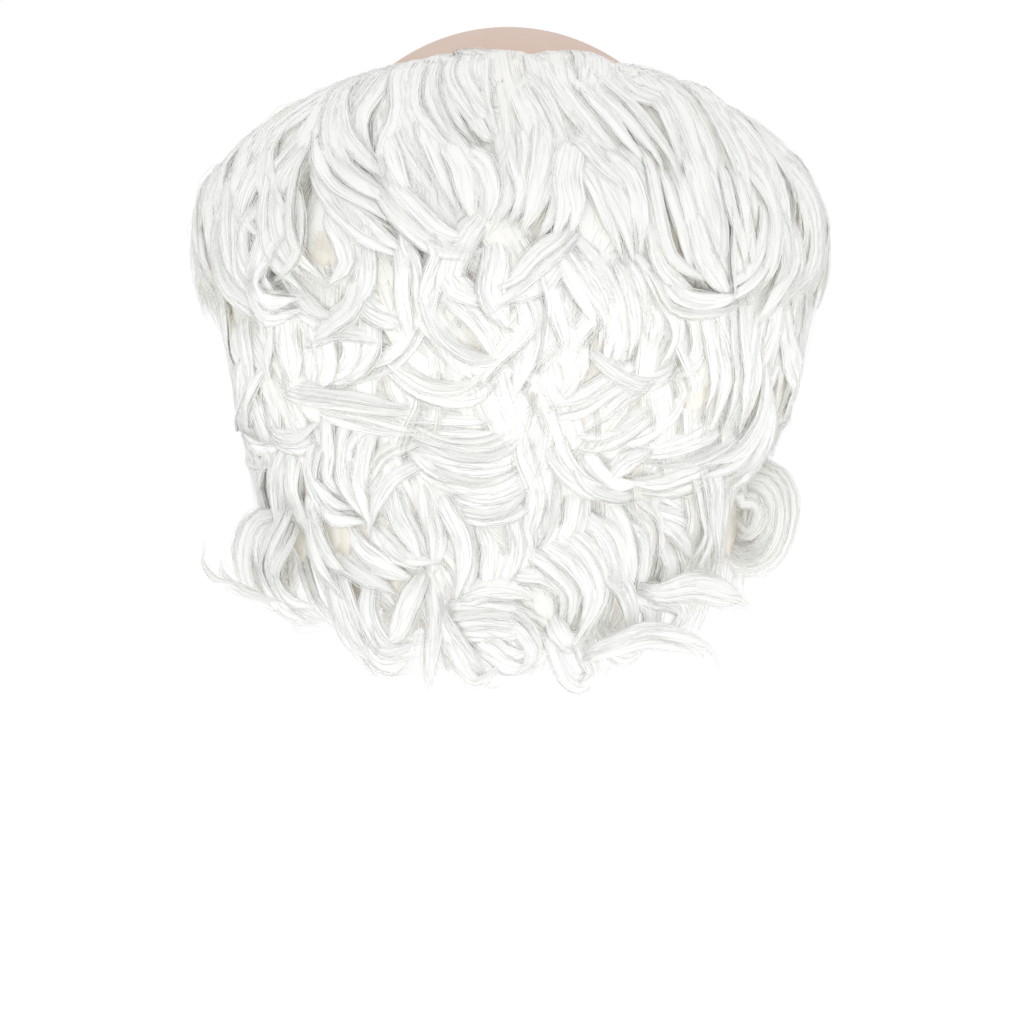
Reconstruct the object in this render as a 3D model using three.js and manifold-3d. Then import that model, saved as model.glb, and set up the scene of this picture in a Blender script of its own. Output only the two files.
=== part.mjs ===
// A costume wig with a bald crown: a thin flesh-pink dome, a sewn net base round the back and sides of the
// head, and five overlapping rows of white curly locks, each row fused to the weft strip that it is sewn by.
// Millimetres, +Z up. The wearer faces +Y, so the back of the head is towards -Y. The origin is the inside of
// the top of the crown, where the wig sits on the head.
// A place on the head is its turn and its drop. The turn is in degrees round the head from the middle of the
// back, towards +X, with the forehead at 180. The drop is in millimetres below the top of the head.

import * as THREE from 'three';
import Module from 'manifold-3d';

const wasm = await Module();
wasm.setup();

// The head that the wig fits, at its inner face
const HEAD_HALF_WIDTH = 77;
const HEAD_BACK = 96;
const HEAD_FRONT = 96;
const WIDEST_DROP = 85;
const BACK_DROP = 92;
const NECK_HALF_WIDTH = 60;
const NECK_WIDTH_DROP = 195;
const NECK_BACK = 62;
const NECK_BACK_DROP = 177;
const UPRIGHT_DROP = 90;

// The bald crown and the net base
const CROWN_WALL = 1.5;
const CROWN_EDGE_BACK = 22;
const CROWN_EDGE_FRONT = 60;
const CROWN_EDGE_POWER = 3;
const CROWN_RINGS = 5;
const BASE_WALL = 1.2;
const BASE_CLEAR = 0.3;
const BASE_END_TURN = 120;
const BASE_LOW_BACK = 170;
const BASE_LOW_SIDE = 120;
const BASE_LOW_POWER = 1.2;
const BASE_LEVELS = 6;
const SEAM_DROP = 0.25;
const COLUMN_TURN = 12;

// The weft strips that carry the rows, and the dip of the top one, which shows in the middle of the back
const WEFT_GAP = 0.35;
const WEFT_WALL = 1.9;
const WEFT_HALF_HEIGHT = 2.6;
const WEFT_DIP = 11;
const WEFT_DIP_TURN = 5;

// The locks: their build and how they lie
const LOCK_SIDES = 4;
const LOCK_LAP = 3;
const LOCK_SPANS = 5;
const ROOT_HEIGHT = 2.7;
const ROOT_SHARE = 0.7;
const TIP_SHARE = 0.3;
const FULL_FROM = 0.35;
const FULL_TO = 0.55;
const SIDE_SPREAD = 0.15;
const CURL_RADIUS = 6;
const ROW_GAP = 0.35;
const MM_PER_DEGREE = 2;

// Rows of hair from the top: drop of the weft at the back, turn of its ends, height of the hair over the
// head, length in which it rises to that height, and thickness of its locks. The top weft follows the
// crown's edge.
const ROWS = [
  { name: 'hair_row_1', drop: 26, end: 108, height: 33, rise: 42, thick: 7.4 },
  { name: 'hair_row_2', drop: 60, end: 108, height: 26, rise: 34, thick: 6.6 },
  { name: 'hair_row_3', drop: 100, end: 108, height: 18.6, rise: 32, thick: 6.0 },
  { name: 'hair_row_4', drop: 140, end: 48, height: 11.4, rise: 30, thick: 5.6 },
  { name: 'hair_row_5', drop: 158, end: 24, height: 5.6, rise: 25, thick: 4.0 },
];

// The locks of each row. A lock leaves the weft at its root turn, passes two bends, ends at its tip, and
// curls on there by a number of degrees, towards +X where it is positive. Turns and drops are as above.
const LOCK_COLUMNS = [
  'root', 'bendTurn', 'bendDrop', 'lowTurn', 'lowDrop', 'tipTurn', 'tipDrop', 'curl', 'width',
];
const LOCKS = [
  [
    [-76, -82, 62, -80, 84, -68, 104, 30, 24],
    [-62, -66, 60, -63, 82, -52, 103, 40, 20],
    [-52, -54, 60, -52, 80, -38, 98, 40, 18],
    [-43, -44, 58, -43, 74, -39, 88, 30, 16],
    [-33, -35, 54, -29, 69, -13, 87, 0, 18],
    [-24, -27, 52, -24, 64, -17, 77, 0, 12],
    [-15, -16, 46, -16, 60, -11, 80, 0, 12],
    [-9, -10, 40, -8, 54, 0, 67, 40, 12],
    [0, 0, 48, 3, 58, 9, 68, 0, 11],
    [6, 8, 42, 13, 55, 20, 67, 0, 13],
    [13, 18, 46, 23, 60, 30, 80, 60, 15],
    [26, 32, 54, 35, 76, 42, 100, 40, 13],
    [34, 39, 52, 42, 72, 41, 95, 0, 14],
    [43, 49, 54, 52, 75, 52, 98, 0, 16],
    [54, 60, 58, 63, 79, 60, 101, -30, 18],
    [66, 72, 60, 75, 82, 68, 102, -40, 20],
    [79, 84, 62, 86, 84, 78, 101, -50, 20],
  ],
  [
    [-76, -78, 98, -74, 124, -66, 148, 30, 24],
    [-63, -64, 100, -58, 126, -46, 150, 30, 20],
    [-50, -51, 104, -45, 130, -24, 141, 40, 18],
    [-38, -40, 104, -38, 118, -31, 131, 0, 15],
    [-26, -27, 90, -25, 102, -26, 114, 0, 12],
    [-13, -11, 92, -14, 106, -32, 119, -30, 12],
    [-3, -3, 78, -6, 92, -6, 108, 0, 13],
    [10, 10, 78, 5, 94, -8, 108, 0, 14],
    [7, 7, 98, 5, 114, 3, 132, 0, 14],
    [-5, -6, 98, -7, 114, -8, 130, 0, 15],
    [20, 20, 88, 21, 104, 12, 118, -40, 13],
    [29, 29, 98, 29, 114, 20, 129, -40, 13],
    [39, 38, 106, 36, 121, 29, 135, 0, 14],
    [50, 49, 111, 46, 130, 38, 146, 0, 17],
    [62, 60, 112, 57, 134, 48, 153, 0, 18],
    [75, 75, 112, 80, 136, 74, 152, -40, 20],
  ],
  [
    [-40, -32, 134, -17, 148, 2, 136, 30, 15],
    [-46, -34, 147, -17, 160, 4, 149, 30, 15],
    [-30, -25, 157, -13, 171, 6, 157, 30, 14],
    [-18, -17, 165, -8, 180, 9, 166, 30, 12],
    [28, 27, 126, 18, 140, 2, 149, -30, 13],
    [48, 44, 140, 33, 151, 17, 150, -30, 14],
    [58, 50, 151, 36, 162, 18, 164, -30, 16],
    [66, 56, 160, 42, 170, 22, 174, -30, 16],
    [10, 10, 140, 10, 160, 8, 182, 0, 12],
    [-56, -48, 152, -41, 168, -28, 182, 30, 17],
    [-68, -66, 152, -60, 172, -48, 190, 30, 18],
  ],
  [
    [-50, -52, 178, -50, 200, -45, 222, 40, 18],
    [-40, -44, 184, -41, 208, -37, 231, 30, 15],
    [-32, -34, 186, -29, 198, -20, 209, 0, 14],
    [-20, -19, 180, -17, 198, -14, 216, 0, 14],
    [-9, -9, 178, -7, 196, -9, 214, 0, 14],
    [2, 2, 180, 2, 194, 1, 208, 0, 13],
    [10, 9, 182, 15, 197, 17, 220, -60, 12],
    [20, 20, 184, 25, 199, 24, 220, -40, 15],
    [31, 32, 182, 36, 197, 33, 219, -40, 14],
    [42, 45, 178, 53, 191, 46, 210, -40, 13],
    [36, 34, 214, 44, 225, 58, 230, 0, 10],
    [50, 57, 178, 59, 194, 65, 209, 30, 12],
  ],
  [
    [-18, -18, 206, -18, 222, -19, 237, 0, 12],
    [-13, -13, 208, -11, 224, -5, 236, 60, 10],
    [-6, -7, 206, 3, 210, 9, 227, -60, 14],
    [1, -3, 208, -4, 220, -6, 233, 0, 12],
    [14, 12, 224, 17, 239, 23, 230, 30, 5],
    [20, 19, 208, 20, 219, 23, 229, 0, 12],
  ],
];

// Plain locks at the sides, towards the temples, for each row that reaches there: first and last turn, their
// spacing, the fall from the weft to the tip, the sway to each side, the curl of the tip and the width
const SIDE_LOCKS = [
  { row: 0, first: 92, last: 120, step: 14, fall: 72, sway: 3, curl: 45, width: 29 },
  { row: 1, first: 88, last: 118, step: 15, fall: 90, sway: 3, curl: 45, width: 28 },
  { row: 2, first: 84, last: 112, step: 14, fall: 86, sway: 4, curl: 60, width: 27 },
];
const SIDE_BEND_SHARE = 0.38;
const SIDE_LOW_SHARE = 0.7;
const SIDE_SHORT_SHARE = 0.93;
const SIDE_TIP_SWAY = 0.4;

// The ring curl at each side, in the upright plane that its turn names: drop and height of the ring's middle,
// its radius, and the thickness and width of its band. It hangs from the third weft, and its lead down to
// the ring is given by shares of the fall and of the ring's inner height.
const RING_CURLS = [
  { turn: 74, drop: 183, height: 29, radius: 11, band: 10, width: 16 },
  { turn: -74, drop: 190, height: 27, radius: 10.5, band: 10, width: 16 },
];
const RING_ROW = 2;
const RING_START = 130;
const RING_SWEEP = 330;
const RING_SPANS = 8;
const RING_LEAD = [{ fall: 0.4, out: 0.72 }, { fall: 0.8, out: 0.86 }];

const radians = THREE.MathUtils.degToRad;

function ease(share) {
  return THREE.MathUtils.smoothstep(share, 0, 1);
}

// The head's half width, and its reach to the back or the front, at a drop
function dome(drop, deepest) {
  return Math.sqrt(Math.max(0, 1 - ((deepest - drop) / deepest) ** 2));
}

function halfWidth(drop) {
  if (drop < WIDEST_DROP) return HEAD_HALF_WIDTH * dome(drop, WIDEST_DROP);
  const share = ease((drop - WIDEST_DROP) / (NECK_WIDTH_DROP - WIDEST_DROP));
  return HEAD_HALF_WIDTH + (NECK_HALF_WIDTH - HEAD_HALF_WIDTH) * share;
}

function reach(turn, drop) {
  if (Math.abs(turn) > 90) return HEAD_FRONT * (drop < WIDEST_DROP ? dome(drop, WIDEST_DROP) : 1);
  if (drop < BACK_DROP) return HEAD_BACK * dome(drop, BACK_DROP);
  return HEAD_BACK + (NECK_BACK - HEAD_BACK) * ease((drop - BACK_DROP) / (NECK_BACK_DROP - BACK_DROP));
}

// The way out from the head at a place, level below the widest part and tilting up to straight up at the top
function outward(turn, drop) {
  const tilt = Math.asin(Math.max(0, 1 - drop / UPRIGHT_DROP));
  const around = radians(turn);
  return new THREE.Vector3(
    Math.cos(tilt) * Math.sin(around),
    -Math.cos(tilt) * Math.cos(around),
    Math.sin(tilt),
  );
}

// The point at a turn and a drop, a height out from the head
function place(turn, drop, height) {
  const around = radians(turn);
  const point = new THREE.Vector3(
    halfWidth(drop) * Math.sin(around),
    -reach(turn, drop) * Math.cos(around),
    -drop,
  );
  return point.addScaledVector(outward(turn, drop), height);
}

function crownEdge(turn) {
  const share = Math.abs(Math.sin(radians(turn) / 2)) ** CROWN_EDGE_POWER;
  return CROWN_EDGE_BACK + (CROWN_EDGE_FRONT - CROWN_EDGE_BACK) * share;
}

function baseLow(turn) {
  const share = Math.max(0, Math.cos(radians(turn))) ** BASE_LOW_POWER;
  return BASE_LOW_SIDE + (BASE_LOW_BACK - BASE_LOW_SIDE) * share;
}

// The closed solid of corner points and triangles, faces out, and the geometry of a joined or cut solid
function solidOf(points, triangles) {
  const build = (faces) => new wasm.Manifold(new wasm.Mesh({
    numProp: 3,
    vertProperties: new Float32Array(points.flatMap((p) => p.toArray())),
    triVerts: new Uint32Array(faces.flat()),
  }));
  const solid = build(triangles);
  return solid.volume() > 0 ? solid : build(triangles.map(([a, b, c]) => [a, c, b]));
}

function geometryOfSolid(solid) {
  const { numProp, vertProperties, triVerts } = solid.getMesh();
  const geometry = new THREE.BufferGeometry();
  const points = [];
  for (let i = 0; i < vertProperties.length; i += numProp) {
    points.push(vertProperties[i], vertProperties[i + 1], vertProperties[i + 2]);
  }
  geometry.setAttribute('position', new THREE.Float32BufferAttribute(points, 3));
  geometry.setIndex(Array.from(triVerts));
  return geometry;
}

// A wall between two drops and two heights over the head, round a span of turns with open ends
function band(columns, levels, topDrop, lowDrop, inner, outer) {
  const points = [];
  const triangles = [];
  const at = (column, level, side) => (column * (levels + 1) + level) * 2 + side;
  const quad = (a, b, c, d) => triangles.push([a, b, c], [a, c, d]);
  columns.forEach((turn) => {
    for (let level = 0; level <= levels; level += 1) {
      const drop = THREE.MathUtils.lerp(topDrop(turn), lowDrop(turn), level / levels);
      points.push(place(turn, drop, inner), place(turn, drop, outer));
    }
  });
  const last = columns.length - 1;
  for (let column = 0; column < last; column += 1) {
    for (let level = 0; level < levels; level += 1) {
      for (const side of [0, 1]) {
        const corners = [
          at(column, level, side), at(column + 1, level, side),
          at(column + 1, level + 1, side), at(column, level + 1, side),
        ];
        quad(...(side === 0 ? corners : corners.reverse()));
      }
    }
    quad(at(column, 0, 0), at(column, 0, 1), at(column + 1, 0, 1), at(column + 1, 0, 0));
    quad(at(column, levels, 1), at(column, levels, 0), at(column + 1, levels, 0), at(column + 1, levels, 1));
  }
  for (let level = 0; level < levels; level += 1) {
    quad(at(0, level, 1), at(0, level, 0), at(0, level + 1, 0), at(0, level + 1, 1));
    quad(at(last, level, 0), at(last, level, 1), at(last, level + 1, 1), at(last, level + 1, 0));
  }
  return { points, triangles };
}

function columnsTo(end) {
  const columns = [];
  for (let turn = -end; turn <= end; turn += COLUMN_TURN) columns.push(turn);
  return columns;
}

// The dome, from the top point down to its edge, as two skins joined round the edge
function crownSolid() {
  const columns = 360 / COLUMN_TURN;
  const points = [place(0, 0, 0), place(0, 0, CROWN_WALL)];
  const triangles = [];
  const at = (ring, column, side) => 2 + ((ring - 1) * columns + (column % columns)) * 2 + side;
  for (let ring = 1; ring <= CROWN_RINGS; ring += 1) {
    for (let column = 0; column < columns; column += 1) {
      const turn = column * COLUMN_TURN - 180;
      const drop = crownEdge(turn) * (ring / CROWN_RINGS) ** 2;
      points.push(place(turn, drop, 0), place(turn, drop, CROWN_WALL));
    }
  }
  for (let column = 0; column < columns; column += 1) {
    triangles.push([0, at(1, column + 1, 0), at(1, column, 0)], [1, at(1, column, 1), at(1, column + 1, 1)]);
    for (let ring = 1; ring < CROWN_RINGS; ring += 1) {
      for (const side of [0, 1]) {
        const [a, b] = [at(ring, column, side), at(ring, column + 1, side)];
        const [c, d] = [at(ring + 1, column + 1, side), at(ring + 1, column, side)];
        triangles.push(...(side === 1 ? [[a, d, c], [a, c, b]] : [[a, b, c], [a, c, d]]));
      }
    }
    const [a, b] = [at(CROWN_RINGS, column, 0), at(CROWN_RINGS, column + 1, 0)];
    const [c, d] = [at(CROWN_RINGS, column + 1, 1), at(CROWN_RINGS, column, 1)];
    triangles.push([a, b, c], [a, c, d]);
  }
  return solidOf(points, triangles);
}

function baseSolid(wall) {
  const top = (turn) => crownEdge(turn) + SEAM_DROP;
  const { points, triangles } = band(columnsTo(BASE_END_TURN), BASE_LEVELS, top, baseLow, 0, wall);
  return solidOf(points, triangles);
}

// The drop of a row's weft at a turn: the top one follows the crown's edge and dips in the middle of the back
function weftDrop(row, turn) {
  if (row > 0) return ROWS[row].drop;
  const dip = WEFT_DIP * (1 - ease(Math.abs(turn) / WEFT_DIP_TURN));
  return crownEdge(turn) + ROWS[0].drop - CROWN_EDGE_BACK + dip;
}

function weftSolid(row) {
  const inner = BASE_WALL + WEFT_GAP;
  const top = (turn) => weftDrop(row, turn) - WEFT_HALF_HEIGHT;
  const low = (turn) => weftDrop(row, turn) + WEFT_HALF_HEIGHT;
  const { points, triangles } = band(columnsTo(ROWS[row].end), 1, top, low, inner, inner + WEFT_WALL);
  return solidOf(points, triangles);
}

// A lock's stations along its middle: place, way out, and share of the length from the root
function lockStations(row, lock) {
  const { height, rise } = ROWS[row];
  const flat = (turn, drop) => new THREE.Vector3(turn * MM_PER_DEGREE, drop, 0);
  const curve = new THREE.CatmullRomCurve3([
    flat(lock.root, weftDrop(row, lock.root)),
    flat(lock.bendTurn, lock.bendDrop),
    flat(lock.lowTurn, lock.lowDrop),
    flat(lock.tipTurn, lock.tipDrop),
  ], false, 'centripetal');
  const flats = curve.getSpacedPoints(LOCK_SPANS);
  const way = flats.at(-1).clone().sub(flats.at(-2));
  if (lock.curl !== 0) {
    const heading = Math.atan2(way.x, way.y) + radians(lock.curl);
    const step = CURL_RADIUS * radians(Math.abs(lock.curl));
    const turnedOn = new THREE.Vector3(Math.sin(heading) * step, Math.cos(heading) * step, 0);
    flats.push(flats.at(-1).clone().add(turnedOn));
  }
  let run = 0;
  return flats.map((point, i) => {
    run += i > 0 ? point.distanceTo(flats[i - 1]) : 0;
    const [turn, drop] = [point.x / MM_PER_DEGREE, point.y];
    const full = height * (1 + SIDE_SPREAD * Math.abs(Math.sin(radians(turn))));
    const out = ROOT_HEIGHT + (full - ROOT_HEIGHT) * Math.sin((Math.PI / 2) * Math.min(1, run / rise));
    return { point: place(turn, drop, out), out: outward(turn, drop), share: i / (flats.length - 1) };
  });
}

// A ring curl's stations: down from the weft close to the head, then round the ring
function ringStations(ring) {
  const root = ROWS[RING_ROW].drop;
  const stations = [];
  const side = new THREE.Vector3(Math.cos(radians(ring.turn)), Math.sin(radians(ring.turn)), 0);
  const add = (drop, height) => stations.push({ point: place(ring.turn, drop, height), side });
  const angle = (step) => radians(RING_START - RING_SWEEP * (step / RING_SPANS));
  const start = ring.drop - ring.radius * Math.sin(angle(0));
  const inner = ring.height + ring.radius * Math.cos(angle(0));
  add(root, ROOT_HEIGHT);
  RING_LEAD.forEach((lead) => add(THREE.MathUtils.lerp(root, start, lead.fall), inner * lead.out));
  for (let step = 0; step <= RING_SPANS; step += 1) {
    add(ring.drop - ring.radius * Math.sin(angle(step)), ring.height + ring.radius * Math.cos(angle(step)));
  }
  return stations.map((station, i) => ({ ...station, share: i / (stations.length - 1) }));
}

// A lock's fullness along it: slim where it is sewn, full from a third of its length, tapered to its tip
function fullness(share) {
  const root = ROOT_SHARE + (1 - ROOT_SHARE) * ease(share / FULL_FROM);
  return root * (1 - (1 - TIP_SHARE) * ease((share - FULL_TO) / (1 - FULL_TO)));
}

// A closed lens-shaped body round a row of stations, wide across the head and thin away from it
function lockSolid(stations, width, thick, margin) {
  const points = [];
  const triangles = [];
  stations.forEach(({ point, out, side, share }, i) => {
    const before = stations[Math.max(0, i - 1)].point;
    const after = stations[Math.min(stations.length - 1, i + 1)].point;
    const way = after.clone().sub(before).normalize();
    const across = side ? side.clone() : way.clone().cross(out).normalize();
    const up = across.clone().cross(way).normalize();
    const full = fullness(share);
    for (let corner = 0; corner < LOCK_SIDES; corner += 1) {
      const angle = Math.PI / 2 + (2 * Math.PI * corner) / LOCK_SIDES;
      points.push(point.clone()
        .addScaledVector(across, Math.cos(angle) * (width * full / 2 + margin))
        .addScaledVector(up, Math.sin(angle) * (thick * full / 2 + margin)));
    }
  });
  const last = (stations.length - 1) * LOCK_SIDES;
  for (let ring = 0; ring < last; ring += LOCK_SIDES) {
    for (let corner = 0; corner < LOCK_SIDES; corner += 1) {
      const next = (corner + 1) % LOCK_SIDES;
      const [a, b] = [ring + corner, ring + next];
      triangles.push([a, b, b + LOCK_SIDES], [a, b + LOCK_SIDES, a + LOCK_SIDES]);
    }
  }
  for (let corner = 1; corner < LOCK_SIDES - 1; corner += 1) {
    triangles.push([0, corner + 1, corner], [last, last + corner, last + corner + 1]);
  }
  return solidOf(points, triangles);
}

// The plain locks at both sides of a row, swaying to and fro in turn
function sideLocks(plan) {
  const locks = [];
  for (const way of [-1, 1]) {
    for (let turn = plan.first, i = 0; turn <= plan.last; turn += plan.step, i += 1) {
      const sway = (i % 2 === 0 ? 1 : -1) * plan.sway;
      const root = Math.min(turn, ROWS[plan.row].end - 2);
      const top = weftDrop(plan.row, turn);
      locks.push({
        root: way * root,
        bendTurn: way * (turn + sway),
        bendDrop: top + plan.fall * SIDE_BEND_SHARE,
        lowTurn: way * (turn - sway),
        lowDrop: top + plan.fall * SIDE_LOW_SHARE,
        tipTurn: way * (turn + sway * SIDE_TIP_SWAY),
        tipDrop: top + plan.fall * (i % 2 === 0 ? 1 : SIDE_SHORT_SHARE),
        curl: way * plan.curl * (i % 2 === 0 ? 1 : -1),
        width: plan.width,
      });
    }
  }
  return locks;
}

function rowLocks(row) {
  const table = LOCKS[row].map((values) => (
    Object.fromEntries(LOCK_COLUMNS.map((column, i) => [column, values[i]]))
  ));
  return [...table, ...SIDE_LOCKS.filter((plan) => plan.row === row).flatMap(sideLocks)];
}

// All the locks of a row as one body, each fattened by a margin
function hairSolid(row, margin) {
  const { thick } = ROWS[row];
  const bodies = rowLocks(row).map((lock) => (
    lockSolid(lockStations(row, lock), lock.width + LOCK_LAP, thick, margin)
  ));
  if (row === RING_ROW) {
    RING_CURLS.forEach((ring) => bodies.push(lockSolid(ringStations(ring), ring.width, ring.band, margin)));
  }
  return bodies.reduce((all, body) => all.add(body));
}

function largest(solid) {
  return solid.decompose().reduce((best, body) => (body.volume() > best.volume() ? body : best));
}

// Every row from the top, cut clear of the base and of the rows that lie over it
function rowSolids() {
  let cover = baseSolid(BASE_WALL + BASE_CLEAR);
  return ROWS.map((plan, row) => {
    const hair = hairSolid(row, 0).add(weftSolid(row));
    const clear = largest(hair.subtract(cover));
    cover = cover.add(hairSolid(row, ROW_GAP));
    return clear;
  });
}

function mesh(name, geometry, color, roughness) {
  const piece = new THREE.Mesh(geometry, new THREE.MeshStandardMaterial({ color, roughness, metalness: 0 }));
  piece.name = name;
  return piece;
}

const wig = new THREE.Group();
wig.add(mesh('bald_crown', geometryOfSolid(crownSolid()), 0xdcc7bb, 0.75));
wig.add(mesh('hair_base', geometryOfSolid(baseSolid(BASE_WALL)), 0xe0d8c4, 0.9));
rowSolids().forEach((solid, row) => {
  wig.add(mesh(ROWS[row].name, geometryOfSolid(solid), 0xf0f1ee, 0.5));
});

export default wig;
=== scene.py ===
# A costume wig with a bald crown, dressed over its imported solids: a moulded latex dome, a net base and five
# rows of white curly hair sewn to it. Tables are in millimetres and degrees, and the scene is in metres. A
# place on the cap is its turn, in degrees from the middle of the back towards +X, and its drop below the top.

import math
from functools import partial

import bmesh
import bpy
import numpy as np
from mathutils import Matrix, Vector


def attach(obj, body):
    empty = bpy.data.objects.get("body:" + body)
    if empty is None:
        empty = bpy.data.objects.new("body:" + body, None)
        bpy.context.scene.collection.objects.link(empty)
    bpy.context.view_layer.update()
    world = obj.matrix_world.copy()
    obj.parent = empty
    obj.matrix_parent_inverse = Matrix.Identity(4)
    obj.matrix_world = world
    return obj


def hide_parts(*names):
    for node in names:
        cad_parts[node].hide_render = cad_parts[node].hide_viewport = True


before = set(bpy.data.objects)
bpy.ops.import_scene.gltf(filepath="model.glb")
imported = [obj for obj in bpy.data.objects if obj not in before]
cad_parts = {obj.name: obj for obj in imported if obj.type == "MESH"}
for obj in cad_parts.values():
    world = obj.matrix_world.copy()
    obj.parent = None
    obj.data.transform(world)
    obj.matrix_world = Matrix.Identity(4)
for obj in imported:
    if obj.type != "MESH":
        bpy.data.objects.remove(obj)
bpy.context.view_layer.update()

# Bald crown
# A dome of flesh-pink latex, dipped thin over a form and left bare and matt. It is the top of the cap, and
# the net base is sewn on along its lower edge.

MM = 0.001
CAP_HALF_WIDTH = 77
CAP_BACK = 96
CAP_FRONT = 96
WIDEST_DROP = 85
BACK_DROP = 92
NAPE_HALF_WIDTH = 60
NAPE_WIDTH_DROP = 195
NAPE_BACK = 62
NAPE_BACK_DROP = 177
UPRIGHT_DROP = 90
CROWN_WALL = 1.5
CROWN_EDGE_BACK = 22
CROWN_EDGE_FRONT = 60
CROWN_EDGE_POWER = 3
CROWN_COLUMNS = 120
CROWN_RINGS = 32
MERGE_GAP = 0.01


def ease(share):
    share = np.clip(share, 0, 1)
    return share * share * (3 - 2 * share)


def dome(drop, deepest):
    return np.sqrt(np.maximum(0, 1 - ((deepest - drop) / deepest) ** 2))


def half_width(drop):
    nape = ease((drop - WIDEST_DROP) / (NAPE_WIDTH_DROP - WIDEST_DROP))
    below = CAP_HALF_WIDTH + (NAPE_HALF_WIDTH - CAP_HALF_WIDTH) * nape
    return np.where(drop < WIDEST_DROP, CAP_HALF_WIDTH * dome(drop, WIDEST_DROP), below)


def reach(turn, drop):
    front = CAP_FRONT * np.where(drop < WIDEST_DROP, dome(drop, WIDEST_DROP), 1)
    nape = ease((drop - BACK_DROP) / (NAPE_BACK_DROP - BACK_DROP))
    below = CAP_BACK + (NAPE_BACK - CAP_BACK) * nape
    back = np.where(drop < BACK_DROP, CAP_BACK * dome(drop, BACK_DROP), below)
    return np.where(np.abs(turn) > 90, front, back)


def outward(turn, drop):
    """The way out from the cap: level below its widest part, and tilting to straight up at the top."""
    tilt = np.arcsin(np.clip(1 - drop / UPRIGHT_DROP, 0, 1))
    around = np.radians(turn)
    level = np.cos(tilt)
    return np.stack([level * np.sin(around), -level * np.cos(around), np.sin(tilt)], axis=-1)


def place(turn, drop, height):
    """The point in millimetres at a turn and a drop, a height out from the cap."""
    turn, drop, height = np.broadcast_arrays(turn, drop, height)
    around = np.radians(turn)
    skin = np.stack([half_width(drop) * np.sin(around), -reach(turn, drop) * np.cos(around), -drop], axis=-1)
    return skin + outward(turn, drop) * height[..., None]


def crown_edge(turn):
    share = np.abs(np.sin(np.radians(turn) / 2)) ** CROWN_EDGE_POWER
    return CROWN_EDGE_BACK + (CROWN_EDGE_FRONT - CROWN_EDGE_BACK) * share


class Wire:
    """A socket among a material's nodes. Arithmetic adds Math nodes, and add makes any other node."""

    def __init__(self, tree, socket=None):
        self.tree = tree
        self.socket = socket

    def add(self, kind, settings, sockets, output=0):
        made = self.tree.nodes.new(kind)
        for name, value in settings.items():
            setattr(made, name, value)
        self.feed(made, sockets)
        return Wire(self.tree, made.outputs[output])

    def feed(self, made, sockets):
        for name, value in sockets.items():
            if isinstance(value, Wire):
                self.tree.links.new(value.socket, made.inputs[name])
            else:
                made.inputs[name].default_value = value

    def maths(self, operation, first, second):
        return self.add("ShaderNodeMath", {"operation": operation}, {0: first, 1: second})

    def blend(self, share, first, second):
        """A colour between two, by a share from 0 to 1."""
        return self.add("ShaderNodeMix", {"data_type": "RGBA"}, {0: share, 6: first, 7: second}, output=2)

    def bump(self, height, strength, distance):
        return self.add("ShaderNodeBump", {}, {"Height": height, "Strength": strength, "Distance": distance})

    def __add__(self, other):
        return self.maths("ADD", self, other)

    def __radd__(self, other):
        return self.maths("ADD", other, self)

    def __sub__(self, other):
        return self.maths("SUBTRACT", self, other)

    def __rsub__(self, other):
        return self.maths("SUBTRACT", other, self)

    def __mul__(self, other):
        return self.maths("MULTIPLY", self, other)

    def __rmul__(self, other):
        return self.maths("MULTIPLY", other, self)

    def __truediv__(self, other):
        return self.maths("DIVIDE", self, other)

    def limited(self):
        """The same value, kept from 0 to 1."""
        return self.add("ShaderNodeClamp", {}, {"Value": self})

    def between(self, low, high):
        """How far the value is from a low one to a high one, kept from 0 to 1."""
        return ((self - low) / (high - low)).limited()


def colour(red, green, blue):
    """A shader colour from the 0 to 255 values that a picture of it shows."""
    shown = np.array([red, green, blue]) / 255
    linear = np.where(shown <= 0.04045, shown / 12.92, ((shown + 0.055) / 1.055) ** 2.4)
    return (*linear.tolist(), 1.0)


def new_material(name):
    material = bpy.data.materials.new(name)
    material.use_nodes = True
    return material, Wire(material.node_tree), material.node_tree.nodes["Principled BSDF"]


def mapped_sheet(name, columns, levels, spot):
    """A sheet whose grid runs over two shares, each from 0 to 1, and is put in place by spot. Its map holds
    the shares, and edges that meet are merged."""
    sheet = bmesh.new()
    layer = sheet.loops.layers.uv.new("UVMap")
    bmesh.ops.create_grid(sheet, x_segments=columns, y_segments=levels, size=0.5)
    for face in sheet.faces:
        for corner in face.loops:
            corner[layer].uv = (corner.vert.co.x + 0.5, corner.vert.co.y + 0.5)
    for vertex in sheet.verts:
        vertex.co = spot(vertex.co.x + 0.5, vertex.co.y + 0.5) * MM
    bmesh.ops.remove_doubles(sheet, verts=sheet.verts, dist=MERGE_GAP * MM)
    bmesh.ops.recalc_face_normals(sheet, faces=sheet.faces)
    mesh = bpy.data.meshes.new(name)
    sheet.to_mesh(mesh)
    sheet.free()
    mesh.shade_smooth()
    piece = bpy.data.objects.new(name, mesh)
    bpy.context.collection.objects.link(piece)
    return piece


def give_wall(piece, wall):
    solidify = piece.modifiers.new("wall", "SOLIDIFY")
    solidify.thickness = wall * MM
    solidify.offset = 1


def crown_spot(round_share, down_share):
    turn = 360 * round_share - 180
    return place(turn, crown_edge(turn) * down_share ** 2, 0)


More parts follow.
